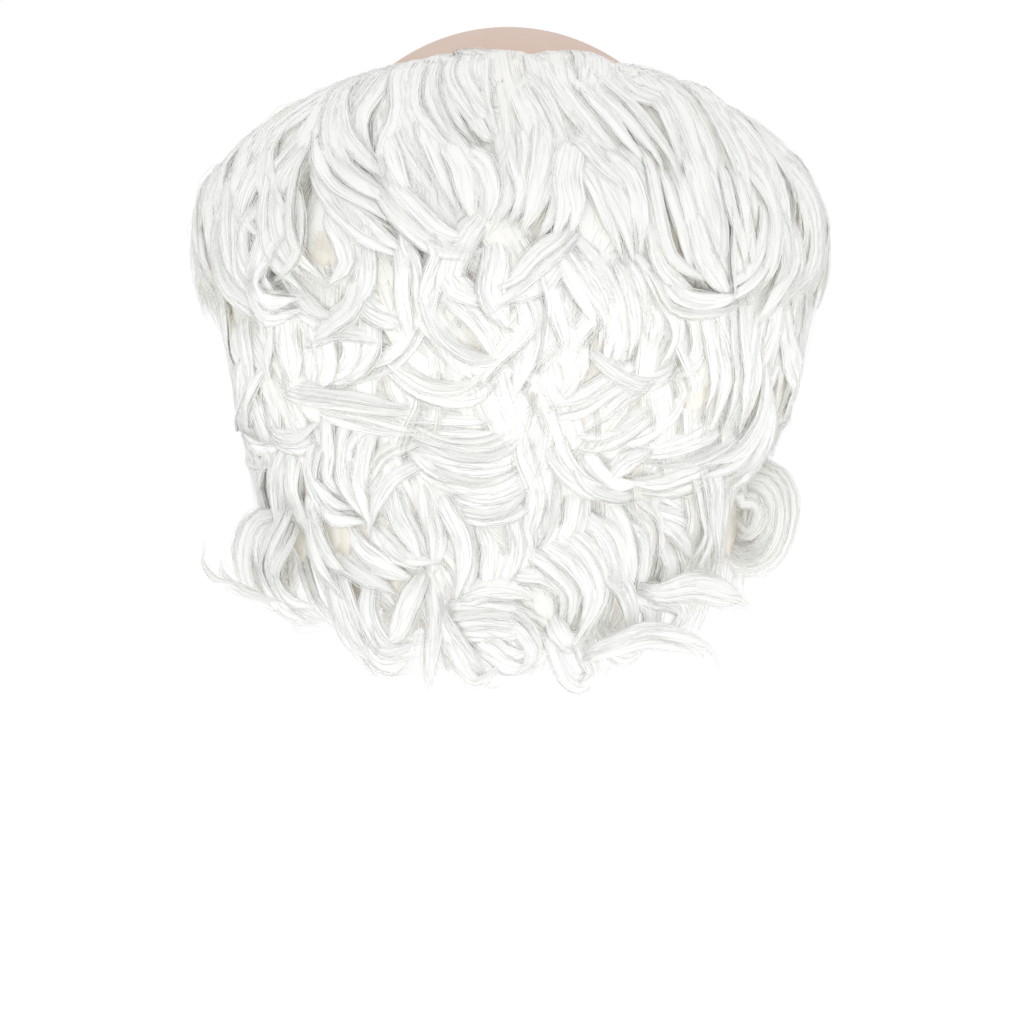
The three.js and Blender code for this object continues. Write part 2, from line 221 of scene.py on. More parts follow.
def crown_latex():
    material, wire, shader = new_material("crown_latex")
    spot = wire.add("ShaderNodeTexCoord", {}, {}, output="Object")
    mottle = wire.add("ShaderNodeTexNoise", {}, {
        "Vector": spot, "Scale": 22.0, "Detail": 5.0, "Roughness": 0.6,
    })
    pores = wire.add("ShaderNodeTexVoronoi", {}, {"Vector": spot, "Scale": 900.0})
    grain = wire.add("ShaderNodeTexNoise", {}, {"Vector": spot, "Scale": 420.0, "Detail": 3.0})
    tint = wire.blend(mottle.between(0.1875, 0.8125), colour(217, 190, 175), colour(225, 204, 192))
    wire.feed(shader, {
        "Base Color": tint,
        "Roughness": 0.5 + 0.2 * grain,
        "Normal": wire.bump(pores * 0.5 + grain, 0.12, 0.0006),
        "Specular IOR Level": 0.35,
    })
    return material


bald_crown = mapped_sheet("bald_crown_latex", CROWN_COLUMNS, CROWN_RINGS, crown_spot)
give_wall(bald_crown, CROWN_WALL)
bald_crown.data.materials.append(crown_latex())
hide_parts("bald_crown")
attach(bald_crown, "root")

# Hair base
# A band of cream net round the back and the sides, cut to shape and hemmed. The wefts are sewn across it in
# rows, so it shows stitched lines inside, and its colour comes through where locks part.

BASE_WALL = 1.2
BASE_END_TURN = 120
BASE_LOW_BACK = 170
BASE_LOW_SIDE = 120
BASE_LOW_POWER = 1.2
SEAM_DROP = 0.25
BASE_COLUMNS = 120
BASE_LEVELS = 60
NET_ACROSS = 240
NET_DOWN = 74
SEWN_EVERY = 3
SEWN_FROM = 0.86
SEWN_THREADS = 3


def base_low(turn):
    share = np.maximum(0, np.cos(np.radians(turn))) ** BASE_LOW_POWER
    return BASE_LOW_SIDE + (BASE_LOW_BACK - BASE_LOW_SIDE) * share


def base_spot(round_share, down_share):
    turn = BASE_END_TURN * (2 * round_share - 1)
    top = crown_edge(turn) + SEAM_DROP
    return place(turn, top + (base_low(turn) - top) * down_share, 0)


def base_net():
    material, wire, shader = new_material("base_net")
    at = wire.add("ShaderNodeUVMap", {"uv_map": "UVMap"}, {})
    across = wire.add("ShaderNodeSeparateXYZ", {}, {"Vector": at}, output="X") * NET_ACROSS
    down = wire.add("ShaderNodeSeparateXYZ", {}, {"Vector": at}, output="Y") * NET_DOWN
    warp = wire.maths("SINE", (across + down) * math.pi, 0)
    weft = wire.maths("SINE", (across - down) * math.pi, 0)
    mesh_lines = wire.maths("MAXIMUM", warp, weft)
    stitch = wire.maths("PINGPONG", down, SEWN_EVERY) / SEWN_EVERY
    sewn = wire.maths("GREATER_THAN", stitch, SEWN_FROM)
    thread = wire.maths("SINE", across * (SEWN_THREADS * math.pi), 0) * 0.5 + 0.5
    raised = mesh_lines * 0.4 + sewn * thread
    fuzz = wire.add("ShaderNodeTexNoise", {}, {"Vector": at, "Scale": 60.0, "Detail": 4.0})
    net = wire.blend((mesh_lines * 0.35 + 0.4).limited(), colour(205, 190, 160), colour(228, 218, 196))
    tint = wire.blend((sewn * 0.8).limited(), net, colour(238, 233, 220))
    shade = wire.blend((fuzz * 0.5).limited(), tint, colour(196, 178, 146))
    wire.feed(shader, {
        "Base Color": shade,
        "Roughness": 0.8 + 0.15 * fuzz,
        "Normal": wire.bump(raised, 0.5, 0.0008),
    })
    return material


hair_base = mapped_sheet("hair_base_net", BASE_COLUMNS, BASE_LEVELS, base_spot)
give_wall(hair_base, BASE_WALL)
hair_base.data.materials.append(base_net())
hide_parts("hair_base")
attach(hair_base, "root")

# Top row of hair
# White fibre, folded over a tape and sewn to it as a weft, which is then sewn along the crown's edge. It
# springs up and out from there and falls in curls, each a flat body of packed fibre with strands on it.

# A row's weft has a drop and a turn where it ends, and may dip at the back. Its hair has a length of fall, a
# share that it is shorter by at the sides, how far it stands out there, how much more it leans to the right,
# the run over which it rises from the weft, and how high it springs
ROW_1 = {
    "drop": 26, "end": 108, "dips": True, "fall": 78, "short": 0.22,
    "side": 39.5, "lean": 0.8, "rise": 42, "spring": 11, "seed": 11,
}
WEFT_GAP = 0.35
WEFT_WALL = 1.9
WEFT_HALF_HEIGHT = 2.6
WEFT_DIP = 11
WEFT_DIP_TURN = 5
MM_PER_DEGREE = 2
ROOT_HEIGHT = 2.7
SPRING_RUN = 34
SPRING_TURN = 85
BULK_DROPS = (30, 60, 85, 110, 140, 170, 200, 230, 245)
BULK_HEIGHTS = (33, 35, 34, 30, 24, 17.5, 11.5, 7, 5.5)
FRONT_TURN = 106
FRONT_RUN = 17
FRONT_THIN = 0.8
ROUTE_STEPS = 48
SPAN_STEPS = 16
ARC_STEPS = 12
LEAST_SPAN = 0.1
LEAST_LENGTH = 1e-9


def weft_drop(row, turn):
    """The drop of a row's weft: the top one follows the crown's edge and dips in the middle of the back."""
    if not row["dips"]:
        return row["drop"] + 0 * turn
    dip = WEFT_DIP * (1 - ease(np.abs(turn) / WEFT_DIP_TURN))
    return crown_edge(turn) + row["drop"] - CROWN_EDGE_BACK + dip


def bulk(row, turn, drop):
    """How far the dressed hair stands out: one smooth swell at the back, the row's own reach at the sides,
    and less at the front edge, where it rounds in."""
    back = np.interp(drop, BULK_DROPS, BULK_HEIGHTS)
    aside = np.sin(np.radians(turn))
    whole = back + (row["side"] + row["lean"] * aside - back) * aside ** 2
    return whole * (1 - FRONT_THIN * ease((np.abs(turn) - FRONT_TURN) / FRONT_RUN))


def hair_points(row, turn, drop, run, lift):
    """Points that rise from the weft to the outside of the hair over their run, or to a lift above it."""
    rise = np.sin(np.pi / 2 * np.clip(run / row["rise"], 0, 1))
    points = place(turn, drop, ROOT_HEIGHT + (bulk(row, turn, drop) - ROOT_HEIGHT) * rise + lift)
    hump = np.sin(np.pi * np.clip(run / SPRING_RUN, 0, 1)) * (1 - ease(np.abs(turn) / SPRING_TURN))
    points[..., 2] += row["spring"] * hump
    return points


def partway(first, last, start, stop, at):
    return (first * (stop - at) + last * (at - start)) / (stop - start)


def smooth_route(points, curl, radius):
    """Evenly spaced places on a smooth curve through points, which goes on at its end round an arc of curl
    degrees, and the run to each."""
    ends = np.vstack([2 * points[0] - points[1], points, 2 * points[-1] - points[-2]])
    fine = []
    for a, b, c, d in zip(ends, ends[1:], ends[2:], ends[3:]):
        spans = [max(LEAST_SPAN, np.linalg.norm(q - p)) ** 0.5 for p, q in ((a, b), (b, c), (c, d))]
        knots = np.cumsum([0.0] + spans)
        at = np.linspace(knots[1], knots[2], SPAN_STEPS, endpoint=False)[:, None]
        ab = partway(a, b, knots[0], knots[1], at)
        bc = partway(b, c, knots[1], knots[2], at)
        cd = partway(c, d, knots[2], knots[3], at)
        abc = partway(ab, bc, knots[0], knots[2], at)
        bcd = partway(bc, cd, knots[1], knots[3], at)
        fine.append(partway(abc, bcd, knots[1], knots[2], at))
    fine = np.vstack(fine + [points[-1:]])
    way = fine[-1] - fine[-2]
    heading = math.atan2(way[0], way[1])
    steps = np.linspace(0, 1, ARC_STEPS + 1)[1:, None] * math.radians(curl)
    side = math.copysign(radius, curl)
    arc_x = side * (np.cos(heading) - np.cos(heading + steps))
    arc_y = side * (np.sin(heading + steps) - np.sin(heading))
    fine = np.vstack([fine, fine[-1] + np.hstack([arc_x, arc_y])])
    run = np.concatenate([[0], np.cumsum(np.linalg.norm(np.diff(fine, axis=0), axis=1))])
    even = np.linspace(0, run[-1], ROUTE_STEPS)
    return np.stack([np.interp(even, run, fine[:, axis]) for axis in (0, 1)], axis=1), even


def unit(vectors):
    return vectors / np.maximum(LEAST_LENGTH, np.linalg.norm(vectors, axis=-1, keepdims=True))


def curl_line(points, out, roll):
    """A curl's middle line and its ways across and up, from its points, the way out and an angle of roll."""
    along = unit(np.gradient(points, axis=0))
    level = unit(np.cross(along, out))
    up = np.cross(level, along)
    across = level * math.cos(roll) + up * math.sin(roll)
    return {"middle": points, "across": across, "up": np.cross(across, along)}


BODY_STEP = 4.8
BODY_PAST_END = 12
BODY_WIDTH = 21
BODY_THICK = 5.5
BODY_SINK = 3.0
BODY_BROAD = (0.75, 0.45)
BODY_DEEP = (0.75, 0.6)
BODY_FADE = 0.75
BODY_WAVE = 5.5
WAVE_LENGTH = 54
WAVE_START_RUN = 36
BODY_CURL = 70
CURL_RADIUS = 8
BODY_FALLS = (0, 0.4, 0.75, 1)
BODY_FALL_SPREAD = (0.9, 1.06)
BODY_STRAY = 2.5
BODY_STRAYS = (0.3, 1, 1, 1.5)
BODY_TUCK = (1, 3.5)
BODY_TUCK_START = 0.65
BODY_TUCK_RUN = 0.35
BODY_LIFT = 0.6
BODY_ROLL = 0.06
BODY_WIDTH_SPREAD = (0.9, 1.2)
WAVE_LIFT = 0.15
ROOT_INSET = 2


def row_root(row, turn):
    """The turn on a row's weft that hair at a turn comes from."""
    return float(np.clip(turn, ROOT_INSET - row["end"], row["end"] - ROOT_INSET))


def row_fall(row, root):
    """How far a row's hair falls from its root: less at the sides."""
    return row["fall"] * (1 - row["short"] * math.sin(math.radians(root)) ** 2)


def body_curls(row):
    """Wavy curls side by side all along a row's weft, which its named curls lie on."""
    rng = np.random.default_rng(row["seed"])
    curls = []
    for turn in np.arange(-row["end"] - BODY_PAST_END, row["end"] + BODY_PAST_END + 1, BODY_STEP):
        root = row_root(row, turn)
        top = float(weft_drop(row, root))
        falls = row_fall(row, root) * np.array(BODY_FALLS) * rng.uniform(*BODY_FALL_SPREAD)
        turns = np.array([root, turn, turn, turn]) + rng.normal(0, BODY_STRAY, 4) * BODY_STRAYS
        points = np.stack([turns * MM_PER_DEGREE, top + falls], axis=1)
        flat, run = smooth_route(points, rng.normal(0, BODY_CURL), CURL_RADIUS)
        share = run / run[-1]
        twirl = 2 * np.pi * run / WAVE_LENGTH + rng.uniform(0, 2 * np.pi)
        swell = BODY_WAVE * ease(run / WAVE_START_RUN)
        flat[:, 0] += swell * np.sin(twirl)
        around = flat[:, 0] / MM_PER_DEGREE
        tuck = rng.uniform(*BODY_TUCK) * ease((share - BODY_TUCK_START) / BODY_TUCK_RUN)
        lift = rng.uniform(-BODY_LIFT, BODY_LIFT) - BODY_SINK - tuck + WAVE_LIFT * swell * np.cos(twirl)
        middle = hair_points(row, around, flat[:, 1], run, lift * ease(run / row["rise"]))
        curl = curl_line(middle, outward(around, flat[:, 1]), rng.normal(0, BODY_ROLL))
        width = BODY_WIDTH * rng.uniform(*BODY_WIDTH_SPREAD)
        curl.update(width=width, thick=BODY_THICK, fade=BODY_FADE, edge=1)
        curl.update(broad=BODY_BROAD, deep=BODY_DEEP)
        curls.append(curl)
    return curls


# The named curls of each row are read from behind. The columns are the x and the drop of four places
# along a curl, as they show from the camera at the scale of the cap's middle plane, and then its width
EYE_BACK = 1500
EYE_DROP = 177.3
SEEN_HALF_WIDTH = 112
SEEN_TURN = 96
SEEK_STEPS = 40
SEEK_GAIN = 0.6
CREST_RUN = 12
ROOTED_DROP = 26
NAMED_PART = 4.6
NAMED_OVERLAP = 2.2
NAMED_THICK = 2.4
NAMED_LEAD = 0.8
NAMED_STRAY = 0.7
NAMED_BROAD = (0.45, 0.6)
NAMED_DEEP = (0.35, 0.85)
ROOTED_DEEP = (0.8, 0.85)
NAMED_FADE = 0.6
NAMED_RIDE = 0.5
NAMED_DIVE = 2.4
NAMED_SEED = 1
NAMED_CURL = 40
NAMED_CURL_SPREAD = 20
NAMED_RADII = (7, 12)
NAMED_DIVE_START = 0.7
NAMED_DIVE_RUN = 0.3
NAMED_RISE = 1.4
NAMED_RISE_RUN = 0.3
NAMED_LIFT = 0.5
NAMED_ROLL = 0.25
SEEN_LIMIT = 0.98
LEAST_SLOPE = 0.3

ROW_1_CURLS = (
    (-92, 34, -110, 54, -115, 74, -108, 98, 11),
    (-84, 29, -98, 46, -100, 66, -86, 85, 9),
    (-68, 24, -86, 40, -87, 60, -74, 80, 8),
    (-104, 60, -107, 76, -104, 92, -93, 105, 10),
    (-108, 52, -114, 68, -114, 84, -108, 98, 9),
    (-100, 50, -105, 66, -104, 82, -98, 96, 9),
    (-96, 64, -99, 76, -97, 88, -90, 98, 8),
    (-90, 78, -94, 91, -89, 102, -78, 100, 10),
    (-60, 22, -62, 37, -55, 49, -43, 58, 9),
    (-69, 38, -63, 51, -50, 62, -34, 72, 9),
    (-46, 18, -55, 30, -54, 43, -45, 54, 7),
    (-39, 15, -39, 29, -44, 43, -42, 57, 5),
    (-36, 14, -36, 29, -31, 44, -25, 58, 6),
    (-74, 40, -80, 56, -81, 74, -68, 92, 6),
    (-70, 52, -60, 66, -55, 80, -58, 93, 6),
    (-64, 60, -54, 70, -46, 77, -36, 82, 7),
    (-58, 66, -53, 80, -53, 92, -60, 103, 5),
    (-66, 66, -61, 76, -60, 86, -66, 92, 5),
    (-20, 9, -24, 18, -18, 31, -5, 41, 7),
    (-15, 8, -18, 17, -11, 29, 1, 37, 7),
    (-10, 7, -13, 13, -7, 23, 5, 31, 6),
    (-27, 10, -31, 20, -28, 33, -12, 45, 6),
    (-33, 12, -35, 26, -29, 38, -14, 48, 6),
    (-30, 32, -27, 44, -22, 54, -19, 66, 6),
    (-22, 40, -17, 50, -14, 60, -13, 72, 6),
    (-14, 44, -9, 52, -7, 62, -10, 74, 6),
    (-20, 10, -12, 7, -3, 7, 6, 10, 5),
    (-8, 13, -7, 22, -3, 35, 1, 48, 7),
    (-2, 14, 0, 24, 5, 37, 9, 51, 7),
    (1, 12, 4, 22, 10, 35, 16, 48, 6),
    (-4, 28, 0, 42, 3, 58, -5, 74, 8),
    (6, 28, 9, 44, 7, 58, 4, 70, 7),
    (12, 28, 15, 44, 10, 62, 3, 76, 6),
    (3, 10, 4, 17, 13, 30, 24, 46, 7),
    (10, 8, 13, 18, 22, 31, 36, 46, 8),
    (19, 9, 21, 19, 30, 31, 46, 48, 8),
    (30, 11, 31, 22, 40, 33, 53, 47, 8),
    (22, 38, 18, 50, 19, 62, 15, 76, 7),
    (25, 42, 24, 54, 26, 66, 22, 78, 5),
    (24, 40, 33, 48, 42, 58, 47, 70, 7),
    (29, 47, 34, 59, 40, 71, 45, 84, 7),
    (40, 44, 47, 54, 51, 66, 51, 80, 8),
    (22, 74, 13, 83, 3, 91, -7, 98, 7),
    (20, 84, 11, 91, 1, 97, -10, 101, 5),
    (-46, 58, -36, 70, -24, 77, -10, 78, 8),
    (-9, 68, -19, 79, -20, 91, -9, 99, 6),
    (-4, 76, -3, 86, -6, 95, -2, 104, 6),
    (-30, 70, -24, 80, -26, 92, -30, 104, 7),
    (-40, 76, -36, 86, -36, 98, -34, 110, 8),
    (46, 15, 52, 12, 60, 12, 68, 20, 7),
    (34, 18, 47, 31, 57, 45, 64, 62, 9),
    (44, 19, 56, 26, 63, 40, 66, 60, 5),
    (56, 18, 66, 30, 72, 46, 76, 62, 8),
    (60, 15, 75, 30, 84, 46, 88, 64, 9),
    (68, 20, 86, 35, 96, 52, 95, 76, 9),
    (78, 27, 96, 42, 107, 60, 108, 84, 8),
    (88, 33, 106, 50, 115, 68, 110, 92, 9),
    (49, 46, 54, 64, 60, 84, 78, 97, 9),
    (60, 50, 65, 64, 68, 78, 71, 91, 7),
    (72, 50, 77, 64, 79, 80, 78, 95, 7),
    (84, 56, 85, 70, 84, 84, 85, 97, 8),
    (95, 58, 96, 74, 91, 88, 80, 99, 8),
    (106, 72, 106, 86, 99, 97, 92, 110, 7),
    (104, 50, 113, 66, 114, 82, 108, 98, 9),
    (100, 62, 104, 76, 103, 90, 97, 102, 8),
    (66, 40, 71, 56, 76, 74, 80, 90, 9),
    (80, 48, 84, 62, 88, 78, 90, 92, 9),
    (90, 50, 97, 66, 98, 82, 92, 96, 8),
    (-78, 44, -86, 60, -86, 78, -76, 94, 9),
    (-88, 46, -98, 62, -99, 80, -92, 96, 9),
    (-46, 30, -42, 42, -36, 53, -30, 62, 9),
    (-84, 70, -90, 82, -92, 92, -86, 100, 8),
    (-81, 54, -76, 66, -77, 78, -84, 88, 5),
    (68, 62, 74, 76, 79, 88, 85, 98, 10),
    (55, 86, 62, 98, 75, 102, 90, 97, 8),
)


def outside(row):
    """The outside of all the hair, with a row's own reach at the sides."""
    return dict(ROW_1, side=row["side"], lean=row["lean"])


def behind(row, seen_x, seen_drop):
    """The turn and drop of places on the outside of the hair, found step by step from where they are seen."""
    turn = np.degrees(np.arcsin(np.clip(seen_x / SEEN_HALF_WIDTH, -SEEN_LIMIT, SEEN_LIMIT)))
    drop = seen_drop + CREST_RUN
    for _ in range(SEEK_STEPS):
        point = hair_points(outside(row), turn, drop, drop - weft_drop(ROW_1, turn), 0)
        nearer = 1 + point[:, 1] / EYE_BACK
        aside = np.degrees((seen_x * nearer - point[:, 0]) / SEEN_HALF_WIDTH)
        down = EYE_DROP + (seen_drop - EYE_DROP) * nearer + point[:, 2]
        turn = turn + SEEK_GAIN * aside / np.maximum(LEAST_SLOPE, np.cos(np.radians(turn)))
        turn = np.clip(turn, -SEEN_TURN, SEEN_TURN)
        drop = np.maximum(drop + SEEK_GAIN * down, weft_drop(ROW_1, turn) + CREST_RUN)
    return turn, drop


def lay_curl(row, places, width, rooted, rng):
    """The parts of one curl through places on the outside of the hair. Each comes up out of the hair, or from
    the top weft, and its tip goes on round its last bend and dives in again."""
    before, last = places[-2] - places[-3], places[-1] - places[-2]
    bend = -math.copysign(1, before[0] * last[1] - before[1] * last[0])
    parts = max(1, round(width / NAMED_PART))
    ride = rng.uniform(0, NAMED_RIDE)
    way = unit(np.gradient(places, axis=0))
    aside = np.stack([way[:, 1], -way[:, 0]], axis=1)
    curls = []
    for part in range(parts):
        offset = ((part + 0.5) / parts - 0.5) * width
        moved = places + aside * offset + rng.normal(0, NAMED_STRAY, places.shape)
        curl_turn = bend * (NAMED_CURL + rng.normal(0, NAMED_CURL_SPREAD))
        flat, run = smooth_route(moved, curl_turn, rng.uniform(*NAMED_RADII))
        share = run / run[-1]
        around = flat[:, 0] / MM_PER_DEGREE
        dive = ease((share - NAMED_DIVE_START) / NAMED_DIVE_RUN)
        if not rooted:
            dive = dive + (NAMED_RISE - NAMED_RISE * ease(share / NAMED_RISE_RUN))
        lift = ride + rng.uniform(-NAMED_LIFT, NAMED_LIFT) - NAMED_DIVE * dive
        if rooted:
            lift = lift * ease(run / ROW_1["rise"])
        from_weft = flat[:, 1] - weft_drop(ROW_1, around)
        middle = hair_points(outside(row), around, flat[:, 1], from_weft, lift)
        curl = curl_line(middle, outward(around, flat[:, 1]), rng.normal(0, NAMED_ROLL))
        curl.update(width=width / parts * NAMED_OVERLAP, thick=NAMED_THICK, fade=NAMED_FADE, edge=1)
        curl.update(broad=NAMED_BROAD, deep=ROOTED_DEEP if rooted else NAMED_DEEP)
        curls.append(curl)
    return curls


def named_curls(row, table):
    """The curls of a table, each laid where it is seen."""
    rng = np.random.default_rng(row["seed"] + NAMED_SEED)
    curls = []
    for *columns, width in table:
        seen = np.array(columns, dtype=float).reshape(-1, 2)
        turn, drop = behind(row, seen[:, 0], seen[:, 1])
        places = np.stack([turn * MM_PER_DEGREE, drop], axis=1)
        rooted = seen[0, 1] < ROOTED_DROP
        if rooted:
            start = [places[0, 0], float(weft_drop(ROW_1, turn[0]))]
        else:
            start = places[0] - NAMED_LEAD * (places[1] - places[0])
        curls += lay_curl(row, np.vstack([start, places]), width, rooted, rng)
    return curls


SIDE_SEED = 3
SIDE_TURNS = (79, 117)
SIDE_STEP = 4.4
SIDE_WAVE = 6
SIDE_FALLS = (0.12, 0.36, 0.6, 0.8, 1.0)
SIDE_FALL_SPREAD = (0.85, 1.05)
SIDE_SWAYS = (0, 1, -0.6, 0.9, -0.7)
SIDE_WIDTHS = (4, 8)


def side_curls(row):
    """Narrow wavy curls on both sides of a row, out of the photograph's sight."""
    rng = np.random.default_rng(row["seed"] + SIDE_SEED)
    curls = []
    for turn in np.arange(*SIDE_TURNS, SIDE_STEP):
        for hand in (-1, 1):
            middle = hand * turn * MM_PER_DEGREE + SIDE_WAVE * rng.uniform(-1, 1) * np.array(SIDE_SWAYS)
            length = row["fall"] * (1 - row["short"]) * rng.uniform(*SIDE_FALL_SPREAD)
            top = float(weft_drop(row, min(turn, row["end"])))
            places = np.stack([middle, top + length * np.array(SIDE_FALLS)], axis=1)
            curls += lay_curl(row, places, rng.uniform(*SIDE_WIDTHS), False, rng)
    return curls


OPENING_SHARE = 0.35
CLOSING_SHARE = 0.5
CORE_SIDES = 8
CORE_SHARE = 0.96
CORE_END = 0.95
CORE_CLOSE = 0.8
STRAND_SIDES = 3
STRAND_RADIUS = 0.15
STRAND_TAPER = 0.6
STRAND_TWIST = 0.3
LEAST_STRANDS = 5
END_SPREAD = 0.35
END_POWER = 1.5
SWAY_CYCLES = (0.6, 2.2)
LENS_UNDERSIDE = 0.12
OVAL_UNDERSIDE = 0.5
LOOSE_SHARE = 0.12
LOOSE = {"depth": (0.95, 1.4), "sway": (0.8, 2.4), "end": (0.7, 1), "thin": 0.5}
PACKED = {"depth": (0.94, 1.0), "sway": (0.3, 1.2), "thin": (0.8, 1.2)}

# The fibre map's first share tells strands, below the core tone, from cores, which have a band for each depth
# of hair and go round the section within it. Its second share goes along
BANDS = 16
BAND_SPREAD = 2
CORE_TONE = 0.5
MAP_INSET = 0.01
TONE_MARGIN = 0.05
TONE_STEP = 0.02
FIBRE_MAP = "OFBake"


def fullness(curl, share):
    """How broad and how thick a curl is along it, as shares of its most: it opens, and closes to its tip."""
    opening = ease(share / OPENING_SHARE)
    closing = ease((share - CLOSING_SHARE) / (1 - CLOSING_SHARE))
    return [
        (start + (1 - start) * opening) * (1 - taper * closing)
        for start, taper in (curl["broad"], curl["deep"])
    ]


def section(curl, angle):
    """Places round a curl's section, across and up: an ellipse, or a lens with thin edges."""
    wide = np.cos(angle) * curl["width"] / 2
    deep = np.sin(angle) * np.abs(np.sin(angle)) ** curl["edge"] * curl["thick"] / 2
    return wide, deep


def along_curl(curl, share):
    """The curl's middle and ways across and up at an array of shares of its length."""
    steps = np.linspace(0, 1, len(curl["middle"]))
    return [
        np.stack([np.interp(share, steps, curl[name][:, axis]) for axis in range(3)], axis=-1)
        for name in ("middle", "across", "up")
    ]


def core_tube(curl, rng, strands):
    """The packed fibre inside a curl, as a tube that ends short of the tip."""
    share = np.linspace(0, CORE_END, strands["core"])[None, :]
    middle, across, up = along_curl(curl, share)
    closing = 1 - CORE_CLOSE * ease((share - curl["fade"]) / (CORE_END - curl["fade"]))
    broad, thick = fullness(curl, share)
    angle = np.linspace(0, 2 * np.pi, CORE_SIDES, endpoint=False)
    wide, deep = section(curl, angle)
    wide = wide * (CORE_SHARE * broad * closing)[..., None]
    deep = deep * (CORE_SHARE * thick * closing)[..., None]
    rings = middle[:, :, None] + across[:, :, None] * wide[..., None] + up[:, :, None] * deep[..., None]
    band = strands["band"] + rng.integers(BAND_SPREAD)
    tone = (band + np.linspace(MAP_INSET, 1 - MAP_INSET, CORE_SIDES + 1)[None, :]) / BANDS
    return {"rings": rings, "across": tone, "along": share}


def drawn(loose, name, rng):
    """A value for each strand, from the range that its kind has under a name."""
    count = len(loose)
    return np.where(loose, rng.uniform(*LOOSE[name], count), rng.uniform(*PACKED[name], count))[:, None]


def strand_tubes(curl, rng, per_mm, rings):
    """The strands on the outer side of a curl. Each keeps its place in the curl's section, sways a little on
    its way, and ends near the tip. A few lie loose, thinner and further out."""
    count = max(LEAST_STRANDS, round(curl["width"] * per_mm))
    loose = rng.random(count) < LOOSE_SHARE
    angle = np.arccos(rng.uniform(-1, 1, count))
    underside = LENS_UNDERSIDE if curl["edge"] else OVAL_UNDERSIDE
    angle = np.where(rng.random(count) < underside, -angle, angle)[:, None]
    depth = drawn(loose, "depth", rng)
    loose_end = rng.uniform(*LOOSE["end"], count)
    end = np.where(loose, loose_end, 1 - END_SPREAD * rng.random(count) ** END_POWER)[:, None]
    share = end * np.linspace(0, 1, rings)[None, :]
    middle, across, up = along_curl(curl, share)
    twist = angle + rng.normal(0, STRAND_TWIST, count)[:, None] * share
    broad, thick = fullness(curl, share)
    sway = drawn(loose, "sway", rng) * ease(share * 2)
    cycles = rng.uniform(*SWAY_CYCLES, (2, count))[..., None]
    phase = rng.uniform(0, 2 * np.pi, (2, count))[..., None]
    wave = np.sin(2 * np.pi * cycles * share + phase)
    wide, deep = section(curl, twist)
    aside = wide * broad * depth + sway * wave[0]
    above = deep * thick * depth + sway * wave[1] / 2
    path = middle + across * aside[..., None] + up * above[..., None]
    thin = np.where(loose, LOOSE["thin"], rng.uniform(*PACKED["thin"], count))[:, None]
    radius = STRAND_RADIUS * thin * (1 - STRAND_TAPER * (share / end) ** 3)
    corners = np.linspace(0, 2 * np.pi, STRAND_SIDES, endpoint=False)
    corner = rng.uniform(0, 2 * np.pi, count)[:, None] + corners
    wide = np.cos(corner)[:, None, :] * radius[..., None]
    deep = np.sin(corner)[:, None, :] * radius[..., None]
    rings = path[:, :, None] + across[:, :, None] * wide[..., None] + up[:, :, None] * deep[..., None]
    tone = rng.uniform(0, CORE_TONE - TONE_MARGIN, count)[:, None]
    tone = tone + np.linspace(0, TONE_STEP, STRAND_SIDES + 1)[None, :]
    return {"rings": rings, "across": tone, "along": share}


def tube_faces(tubes, first):
    """Corner numbers of closed tubes, from the number of their first point, and the corners' map places."""
    count, rings, sides, _ = tubes["rings"].shape
    at = first + np.arange(count * rings * sides).reshape(count, rings, sides)
    turned = np.roll(at, -1, axis=2)
    quads = np.stack([at[:, :-1], at[:, 1:], turned[:, 1:], turned[:, :-1]], axis=-1)
    tone = np.broadcast_to(tubes["across"][:, None, :], (count, rings, sides + 1))
    share = np.broadcast_to(tubes["along"][:, :, None], (count, rings, sides + 1))
    both = np.stack([tone, share], axis=-1)
    quad_map = np.stack([both[:, :-1, :-1], both[:, 1:, :-1], both[:, 1:, 1:], both[:, :-1, 1:]], axis=-2)
    caps = np.stack([at[:, 0], at[:, -1, ::-1]], axis=1)
    cap_map = np.stack([both[:, 0, :-1], both[:, -1, -2::-1]], axis=1)
    return (
        quads.reshape(-1),
        np.concatenate([np.full(quads.size // 4, 4), np.full(count * 2, sides)]),
        caps.reshape(-1),
        np.concatenate([quad_map.reshape(-1, 2), cap_map.reshape(-1, 2)]),
    )


def hair_mesh(name, bundles):
    """One mesh of all the closed tubes in bundles, with the fibre map that the hair's colour is read by."""
    points = []
    corners = []
    sizes = []
    places = []
    first = 0
    for tubes in bundles:
        quads, counts, caps, spots = tube_faces(tubes, first)
        points.append(tubes["rings"].reshape(-1, 3))
        corners += [quads, caps]
        sizes.append(counts)
        places.append(spots)
        first += len(points[-1])
    points = np.concatenate(points) * MM
    corners = np.concatenate(corners)
    sizes = np.concatenate(sizes)
    mesh = bpy.data.meshes.new(name)
    mesh.vertices.add(len(points))
    mesh.vertices.foreach_set("co", points.ravel())
    mesh.loops.add(len(corners))
    mesh.loops.foreach_set("vertex_index", corners.astype(np.int32))
    mesh.polygons.add(len(sizes))
    mesh.polygons.foreach_set("loop_start", (np.cumsum(sizes) - sizes).astype(np.int32))
    mesh.update(calc_edges=True)
    layer = mesh.uv_layers.new(name=FIBRE_MAP)
    layer.uv.foreach_set("vector", np.concatenate(places).astype(np.float32).ravel())
    mesh.shade_smooth()
    return mesh


EDGE_LINES = 56
BAND_SHIFT = 7.3
STREAKS_ALONG = 3
# How much painted shade the hair gets, by the depth of its layer
PAINTED_SHADE_FLAT = 0.2
PAINTED_SHADE_DEEP = 0.8
ROOT_FADE = 9
TIP_FADE = 6
EDGE_COVER = 1.9
EDGE_START = 0.45
EDGE_STREAK = 2.6
LAPPED_DEPTH = 0.45
LAPPED_COVER = 3


